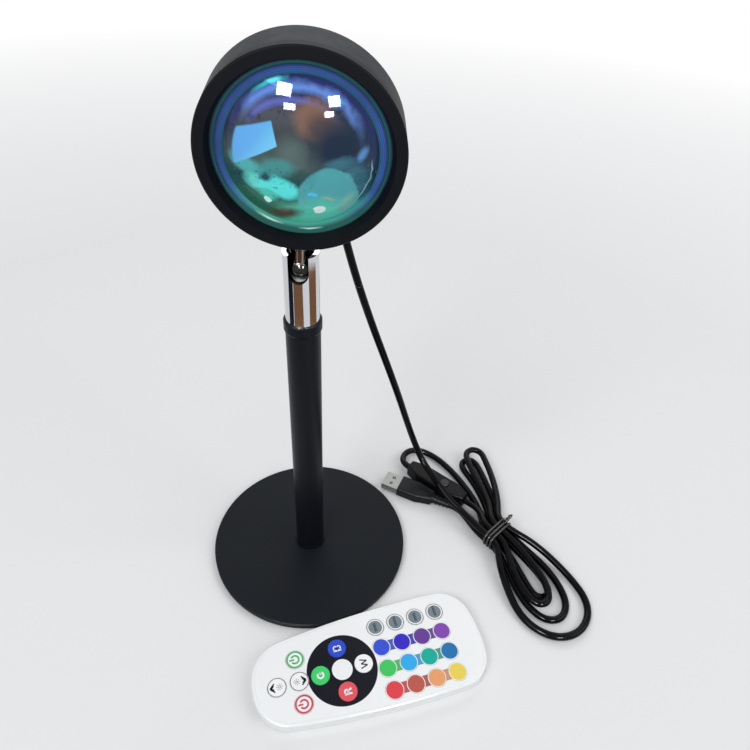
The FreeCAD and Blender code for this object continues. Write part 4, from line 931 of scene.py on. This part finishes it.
@dataclass
class Tie:
    """The twist tie round the waist of the hank, with its two ends twisted together.

    Attributes:
        centre: The middle of the waist.
        across: Direction across the waist.
        run: Direction along it.
        half_width: From the middle to the wire's centre, across.
        half_height: From the middle to the wire's centre, up.
        wire: The wire's radius.
        turns: How many times it goes round.
        pitch: How far apart its turns are.
        squareness: Power of the waist's rounded rectangle, 1 for an ellipse.
        count: Control points of each turn.
        knots: Control points of each twisted end.
        winding: How far the ends turn about each other between two of those, in radians.
        lift: Height of the twisted ends over the bundle, and how much they rise from knot to knot.
    """

    centre: Vector = field(default_factory=lambda: Vector((0.1215, -0.0070, 0.0062)))
    across: Vector = field(default_factory=lambda: Vector((0.807, 0.590, 0.0)))
    run: Vector = field(default_factory=lambda: Vector((0.590, -0.807, 0.0)))
    half_width: float = 0.0106
    half_height: float = 0.0053
    wire: float = 0.0008
    turns: float = 2.6
    pitch: float = 0.0024
    squareness: float = 0.45
    count: int = 16
    knots: int = 7
    winding: float = 1.3
    lift: Spot = (0.0016, 0.0003)

    def spot(self, turn: float) -> Point:
        """The wire's control point at a number of turns, on a rounded rectangle about the bundle."""
        angle = 2.0 * math.pi * turn
        cosine, sine = math.cos(angle), math.sin(angle)
        wide = math.copysign(abs(cosine) ** self.squareness, cosine) * self.half_width
        tall = math.copysign(abs(sine) ** self.squareness, sine) * self.half_height
        along = (turn - self.turns / 2.0) * self.pitch
        return tuple(self.centre + self.across * wide + self.run * along + Vector((0.0, 0.0, tall)))

    def twist(self, phase: float) -> list[Point]:
        """The control points of one of the two ends, wound about each other above the bundle."""
        points = []
        start, climb = self.lift
        for number in range(self.knots):
            angle = phase + number * self.winding
            offset = self.run * (math.cos(angle) * self.wire) + Vector((0, 0, math.sin(angle) * self.wire))
            base = self.centre + self.across * (self.half_width - 0.004 + number * 0.0010)
            lift = Vector((0.0, 0.0, self.half_height + start + min(number, 5) * climb))
            points.append(tuple(base + lift + offset))
        return points

    def build(self) -> bpy.types.Object:
        """Winds the tie.

        Returns:
            The tie with its twisted ends.
        """
        wraps = [self.spot(number / self.count) for number in range(round(self.turns * self.count) + 1)]
        form = Strand("tie_wraps", wraps, self.wire, steps=6, sides=2).tube()
        for phase in (0.0, math.pi):
            scrap = Strand("tie_end", self.twist(phase), self.wire * 0.9, steps=5, sides=2).mesh()
            form.from_mesh(scrap)
            bpy.data.meshes.remove(scrap)
        tie = piece("hank_twist_tie", form, Shop.TIE.material())
        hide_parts("hank_tie")
        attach(tie, "stand")
        return tie


# --- Remote control ---
@dataclass
class KeyMark:
    """A flat printed mark on a key, drawn from bars and arcs about the key's centre.

    Attributes:
        column: Where its key stands along the remote, in pitches from the round pad's middle.
        row: Where its key stands across the remote, in pitches from there.
        lean: How far the mark is turned on its key, in degrees.
        level: Height of the print.
    """

    column: float
    row: float
    lean: float = 0.0
    level: float = 0.00819

    def __post_init__(self) -> None:
        """Starts an empty mark."""
        self.form = bmesh.new()

    def arc(self, radius: float, width: float, start: float = 0.0, sweep: float = 360.0,
            middle: Spot = (0.0, 0.0)) -> "KeyMark":
        """Adds a stretch of ring.

        Args:
            radius: Its middle radius in millimetres.
            width: Its width in millimetres.
            start: Where it starts, in degrees.
            sweep: How far it goes, in degrees.
            middle: Its centre in millimetres.

        Returns:
            The mark itself.
        """
        turn = Matrix.Rotation(math.radians(start), 3, "Z")
        hub = Vector((*middle, 0.0)) * MM
        ends = [self.form.verts.new(hub + turn @ Vector(((radius + side * width / 2) * MM, 0.0, 0.0)))
                for side in (-1, 1)]
        edge = self.form.edges.new(ends)
        bmesh.ops.spin(self.form, geom=[*ends, edge], cent=hub, axis=(0.0, 0.0, 1.0),
                       angle=math.radians(sweep), steps=max(6, round(sweep / 9)), use_merge=sweep >= 360.0)
        return self

    def bar(self, start: Spot, end: Spot, width: float) -> "KeyMark":
        """Adds a straight bar between two spots in millimetres.

        Args:
            start: One end.
            end: The other end.
            width: Its width in millimetres.

        Returns:
            The mark itself.
        """
        first, last = Vector((*start, 0.0)) * MM, Vector((*end, 0.0)) * MM
        run = last - first
        turn = Matrix.Rotation(math.atan2(run.y, run.x), 4, "Z")
        size = Matrix.Diagonal((run.length, width * MM, 1.0, 1.0))
        bmesh.ops.create_grid(self.form, x_segments=1, y_segments=1, size=0.5,
                              matrix=Matrix.Translation((first + last) / 2) @ turn @ size)
        return self

    def finish(self, key: str, colour: Colour, slot: str = "", name: str = "") -> bpy.types.Object:
        """Lays the mark on its key.

        Args:
            key: The key's name.
            colour: The ink.
            slot: The record's material slot, if it isn't the key's own; not used.
            name: The mark's name, if it isn't the key's.

        Returns:
            The mark.
        """
        place = Matrix.Translation((*REMOTE_CENTRE, self.level)) @ Matrix.Rotation(REMOTE_HEADING, 4, "Z")
        place = place @ Matrix.Translation((*key_spot(self.column, self.row), 0.0))
        place = place @ Matrix.Rotation(math.radians(self.lean), 4, "Z")
        bmesh.ops.transform(self.form, matrix=place, verts=self.form.verts)
        for face in self.form.faces:
            face.normal_update()
            if face.normal.z < 0:
                face.normal_flip()
        name = f"mark_{name or key}"
        mark = piece(name, self.form, Finish(f"ink_{name}", colour, 0.35, relief=0.0).make(), smooth=False)
        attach(mark, f"key_{key}")
        return mark


def key_spot(column: float, row: float) -> Spot:
    """A key's centre in the remote's own frame, from its place in pitches from the round pad's middle."""
    return PAD_ACROSS + column * KEY_PITCH, row * KEY_PITCH + ROW_SHIFT


def key_centre(column: float, row: float) -> Spot:
    """A key's centre in the lamp's frame."""
    across, along = key_spot(column, row)
    cosine, sine = math.cos(REMOTE_HEADING), math.sin(REMOTE_HEADING)
    return (REMOTE_CENTRE[0] + across * cosine - along * sine,
            REMOTE_CENTRE[1] + across * sine + along * cosine)


class Remote:
    """The 24-key remote control: the looks of its keys and the marks on them."""

    def build(self) -> list[bpy.types.Object]:
        """Paints the keys and prints their marks.

        Returns:
            The marks.
        """
        for key, shade in PAD_KEYS.items():
            finish = Finish(f"key_{key}", shade, 0.34, relief=0.000004, mottle=0.04, gloss=0.3)
            paint(f"remote_key_{key}", finish.make())
        for line, (row, shades) in (COLOUR_ROWS | {"mode": (1.5, (WHITE,) * 4)}).items():
            for number, shade in enumerate(shades):
                finish = KeyCap(f"key_{line}_{number + 1}", shade, 0.34, relief=0.000004, gloss=0.3,
                                centre=key_centre(2.0 + number, row))
                paint(f"remote_{finish.name}", finish.make())
        return [*self.letters(), *self.power(), *self.brightness(), *self.modes()]

    @staticmethod
    def letters() -> list[bpy.types.Object]:
        """Prints the four colour initials, which read from the remote's long right side."""
        pen, stem, curl = 0.9, -1.3, 0.95
        blue = KeyMark(0, 1, lean=90.0).bar((stem, -2.2), (stem, 2.2), pen)
        for middle in (curl, -curl):
            blue.arc(curl, 0.64, -90, 180, (0.3, middle))
            for edge in (middle + curl, middle - curl):
                blue.bar((stem, edge), (0.3, edge), 0.64)
        marks = [blue.finish("blue", WHITE)]

        red = KeyMark(0, -1, lean=90.0).bar((stem, -2.05), (stem, 2.05), pen)
        red.arc(0.85, pen, -90, 180, (0.2, 0.8)).bar((stem, 1.65), (0.2, 1.65), pen)
        red.bar((stem, -0.05), (0.2, -0.05), pen).bar((0.1, -0.1), (1.35, -2.05), pen)
        marks.append(red.finish("red", WHITE))

        green = KeyMark(-1, 0, lean=90.0).arc(1.55, pen, 45, 315).bar((2.0, -0.1), (0.4, -0.1), pen)
        marks.append(green.finish("green", WHITE))

        white = KeyMark(1, 0, lean=90.0)
        corners = ((-2.4, 1.9), (-1.2, -1.9), (0.0, 1.4), (1.2, -1.9), (2.4, 1.9))
        for first, last in zip(corners, corners[1:]):
            white.bar(first, last, 0.7)
        marks.append(white.finish("white", (0.01, 0.01, 0.01)))
        return marks

    @staticmethod
    def power() -> list[bpy.types.Object]:
        """Prints the ringed power signs."""
        marks = []
        for key, row, colour, slot in (("on", 1, (0.06, 0.42, 0.13), "key_green"),
                                       ("off", -1, (0.60, 0.05, 0.09), "key_red")):
            mark = KeyMark(-1.96, row, lean=90.0).arc(4.3, 1.0)
            mark.arc(2.1, 0.95, 125, 290).bar((0.0, 0.4), (0.0, 3.1), 0.95)
            marks.append(mark.finish(key, colour, slot))
        return marks

    @staticmethod
    def brightness() -> list[bpy.types.Object]:
        """Prints the two ringed suns with their arrowheads."""
        marks = []
        for key, column, way in (("dim", -2.96, -1), ("bright", -1.96, 1)):
            mark = KeyMark(column, 0).arc(4.75, 0.28)
            tip, hub = 3.6 * way, (-1.4 * way, 0.0)
            for side in (-1, 1):
                mark.bar((tip, 0.0), (tip - 2.4 * way, 2.3 * side), 0.8)
                mark.bar((tip - 0.4 * way, 0.0), (tip - 1.9 * way, 1.3 * side), 1.1)
            mark.arc(0.55, 0.22, middle=hub)
            for number in range(8):
                angle = math.radians(45.0 * number)
                ray = [(hub[0] + out * math.cos(angle), hub[1] + out * math.sin(angle)) for out in (1.0, 1.8)]
                mark.bar(*ray, 0.22)
            marks.append(mark.finish(key, (0.02, 0.03, 0.035), "key_white"))
        return marks

    @staticmethod
    def modes() -> list[bpy.types.Object]:
        """Prints the four grey discs in their rings, with bars for their words."""
        marks = []
        for number in range(4):
            key = f"mode_{number + 1}"
            disc = KeyMark(2 + number, 1.5, level=0.00817).arc(1.85, 3.7)
            marks.append(disc.finish(key, (0.15, 0.20, 0.235), "key_white", f"mode_disc_{number + 1}"))
            ring = KeyMark(2 + number, 1.5).arc(4.75, 0.26).arc(3.75, 0.16)
            for row in range(-2, 3 + number % 2):
                ring.bar((-0.75, row - 0.2), (0.75, row + 0.2), 0.62)
            ring.bar((-0.6, -2.2), (-0.6, 2.2), 0.3)
            marks.append(ring.finish(key, (0.02, 0.025, 0.03), "key_white", f"mode_ring_{number + 1}"))
        return marks


# --- Finishes of the carried-over nodes ---
NODE_FINISHES: dict[Shop, Sequence[str]] = {
    Shop.BASE: ("base_plate",),
    Shop.FOAM: ("base_foot_pad",),
    Shop.STEEL: ("base_screw", "rear_screws"),
    Shop.POLE: ("pole_foot", "pole_tube", "pole_collar"),
    Shop.CHROME: ("swivel_barrel",),
    Shop.BALL: ("ball_stud",),
    Shop.ACETAL: ("ball_seat",),
    Shop.HEAD: ("head_housing",),
    Shop.RING: ("front_ring",),
    Shop.LENS: ("lens",),
    Shop.SINK: ("heat_sink",),
    Shop.BOARD: ("led_board",),
    Shop.LED: ("led_package",),
    Shop.LEADS: ("led_leads",),
    Shop.COVER: ("rear_cover",),
    Shop.CORD: ("cord_gland", "cord_drop", "cord_hank", "cord_tail"),
    Shop.TIE: ("hank_tie",),
    Shop.SWITCH: ("switch_case_top", "switch_case_bottom"),
    Shop.BUTTON: ("switch_button",),
    Shop.GREEN_BOARD: ("switch_board", "remote_circuit_board"),
    Shop.PLUG: ("usb_overmould",),
    Shop.SHELL: ("usb_shell",),
    Shop.TONGUE: ("usb_tongue",),
    Shop.CASE: ("remote_upper_case", "remote_lower_case"),
    Shop.FILM: ("remote_key_film",),
    Shop.TRAY: ("remote_battery_tray",),
    Shop.CELL: ("remote_coin_cell",),
}


def dress_nodes() -> None:
    """Gives every carried-over node but the keys its finish."""
    for shop, nodes in NODE_FINISHES.items():
        for node in nodes:
            paint(node, shop.material())
            LOG.info("painted %s with %s", node, shop.value.name)


# --- Studio ---
def facing(spot: Point, target: Point, axis: str) -> Quaternion:
    """The turn that points an axis from a spot to a target."""
    return (Vector(target) - Vector(spot)).to_track_quat(axis, "Y")


@dataclass(frozen=True)
class Lamp:
    """A soft studio lamp.

    Attributes:
        name: Its name.
        spot: Where it hangs.
        target: What it faces.
        size: Its width and height in metres.
        power: Its power in watts.
    """

    name: str
    spot: Point
    target: Point
    size: Spot
    power: float

    def hang(self) -> None:
        """Adds the lamp to the scene."""
        light = bpy.data.lights.new(self.name, "AREA")
        light.shape = "RECTANGLE"
        light.size, light.size_y = self.size
        light.energy = self.power
        item = bpy.data.objects.new(self.name, light)
        item.location = self.spot
        item.rotation_euler = facing(self.spot, self.target, "-Z").to_euler()
        bpy.context.collection.objects.link(item)


@dataclass(frozen=True)
class Softbox:
    """A bright card that faces the head and that only shiny surfaces see.

    Attributes:
        name: Its name.
        spot: Its middle.
        size: Its width and height in metres.
        colour: Its colour.
        strength: How bright it is.
    """

    name: str
    spot: Point
    size: Spot
    colour: Colour = (1.0, 1.0, 1.0)
    strength: float = 100.0

    def form(self) -> bmesh.types.BMesh:
        """The card's shape."""
        form = bmesh.new()
        aim = facing(self.spot, CARD_TARGET, "Z").to_matrix().to_4x4()
        matrix = Matrix.Translation(self.spot) @ aim @ Matrix.Diagonal((*self.size, 1.0, 1.0))
        bmesh.ops.create_grid(form, x_segments=1, y_segments=1, size=0.5, matrix=matrix)
        return form

    def hang(self) -> None:
        """Adds the card to the studio."""
        palette = Palette(self.name)
        palette.set(Base_Color=(0.0, 0.0, 0.0), Roughness=1.0, Specular_IOR_Level=0.0,
                    Emission_Color=self.colour, Emission_Strength=self.strength)
        card = piece(self.name, self.form(), palette.material, smooth=False)
        for view in ("camera", "diffuse", "transmission", "shadow"):
            setattr(card, f"visible_{view}", False)


@dataclass(frozen=True)
class Flag(Softbox):
    """A dim card on the floor, a stretch of ring about the pole: its size is its two radii.

    Attributes:
        start: Where it starts, in degrees.
        sweep: How far it goes, in degrees.
    """

    spot: Point = ORIGIN
    size: Spot = (0.235, 0.345)
    colour: Colour = (0.20, 0.10, 0.050)
    strength: float = 1.0
    start: float = 0.0
    sweep: float = 60.0

    def form(self) -> bmesh.types.BMesh:
        """The card's shape."""
        form = bmesh.new()
        turn = Matrix.Rotation(math.radians(self.start), 3, "Z")
        ends = [form.verts.new(turn @ Vector((radius, 0.0, 0.004))) for radius in self.size]
        bmesh.ops.spin(form, geom=[*ends, form.edges.new(ends)], axis=(0.0, 0.0, 1.0),
                       angle=math.radians(self.sweep), steps=24)
        return form


@dataclass
class Studio:
    """A pale floor, soft light and the camera.

    Attributes:
        eye: Where the camera stands.
        right: The picture's right.
        up: The picture's up.
        ahead: Where the camera looks.
        focal: Focal length over the picture's width.
    """

    eye: Point = (0.0, -0.24304, 0.35386)
    right: Point = (0.99339, -0.10519, 0.04599)
    up: Point = (0.03439, 0.65485, 0.75498)
    ahead: Point = (0.10954, 0.74841, -0.65413)
    focal: float = 636.97 / 750.0
    lamps: Sequence[Lamp] = (
        Lamp("key", (-0.9, -0.9, 1.5), (0.0, 0.0, 0.1), (0.9, 0.9), 14.0),
        Lamp("fill", (1.2, -0.5, 1.1), (0.05, 0.0, 0.1), (1.0, 1.0), 7.0),
        Lamp("back", (0.2, 1.3, 1.2), (0.0, 0.0, 0.15), (1.4, 0.6), 6.0),
    )
    cards: Sequence[Softbox] = (
        Softbox("softbox_upper_left", (-0.320, -0.742, 0.707), (0.190, 0.155)),
        Softbox("softbox_upper_right", (0.322, -0.804, 0.583), (0.154, 0.127)),
        Softbox("softbox_lower_left", (-0.263, -0.841, 0.523), (0.152, 0.079)),
        Softbox("softbox_lower_right", (0.256, -0.867, 0.437), (0.121, 0.070)),
        Flag("flag_left", colour=(0.010, 0.012, 0.020), start=-184.0, sweep=36.0),
        Flag("flag_front", start=-145.0, sweep=61.0),
        Flag("flag_right", start=-43.0, sweep=54.0),
    )

    def build(self) -> None:
        """Sets the studio up."""
        self.floor()
        self.sky()
        for item in (*self.lamps, *self.cards):
            item.hang()
        self.camera()

    def floor(self) -> None:
        """Lays the pale floor, which shows white beyond the lamp's shadow."""
        form = bmesh.new()
        bmesh.ops.create_grid(form, x_segments=1, y_segments=1, size=6.0)
        palette = Palette("floor")
        x, y, _ = palette.axes()
        palette.set(Base_Color=(0.80, 0.80, 0.80), Roughness=0.6, Specular_IOR_Level=0.0)
        glow = palette.add("Emission", Color=(1.0, 1.0, 1.0), Strength=1.0)
        palette.cover(length(x, y).over(0.9, 0.9), glow)
        piece("floor", form, palette.material, smooth=False)

    def sky(self) -> None:
        """Lights the room evenly and shows it white to the eye, to shiny surfaces and to glass."""
        world = bpy.data.worlds.new("room")
        bpy.context.scene.world = world
        world.use_nodes = True
        tree = world.node_tree
        tree.nodes.clear()
        output = tree.nodes.new("ShaderNodeOutputWorld")
        room, white = (tree.nodes.new("ShaderNodeBackground") for _ in range(2))
        room.inputs["Color"].default_value = (0.93, 0.96, 1.0, 1.0)
        room.inputs["Strength"].default_value = 0.5
        white.inputs["Color"].default_value = (1.0, 1.0, 1.0, 1.0)
        path = tree.nodes.new("ShaderNodeLightPath")
        seen = Signal(tree, path.outputs["Is Camera Ray"])
        for ray in ("Is Glossy Ray", "Is Transmission Ray"):
            seen = seen.most(Signal(tree, path.outputs[ray]))
        mix = tree.nodes.new("ShaderNodeMixShader")
        tree.links.new(seen.socket, mix.inputs[0])
        tree.links.new(room.outputs[0], mix.inputs[1])
        tree.links.new(white.outputs[0], mix.inputs[2])
        tree.links.new(mix.outputs[0], output.inputs["Surface"])

    def camera(self) -> None:
        """Stands the camera where the photograph was taken from."""
        data = bpy.data.cameras.new("camera")
        data.sensor_fit = "HORIZONTAL"
        data.sensor_width = 36.0
        data.lens = self.focal * data.sensor_width
        data.clip_start = 0.01
        item = bpy.data.objects.new("camera", data)
        axes = Matrix((self.right, self.up, -Vector(self.ahead))).transposed().to_4x4()
        item.matrix_world = Matrix.Translation(self.eye) @ axes
        bpy.context.collection.objects.link(item)
        bpy.context.scene.camera = item


# --- Assembly ---
def main() -> None:
    """Builds the scene in order and reports each piece."""
    logging.basicConfig(level=logging.INFO, format="%(message)s")
    bpy.context.scene.view_settings.view_transform = "Standard"
    Studio().build()
    dress_nodes()
    made = [*Cord().build(), Tie().build(), *Remote().build()]
    for item in made:
        LOG.info("made %s", item.name)


if __name__ == "__main__":
    main()
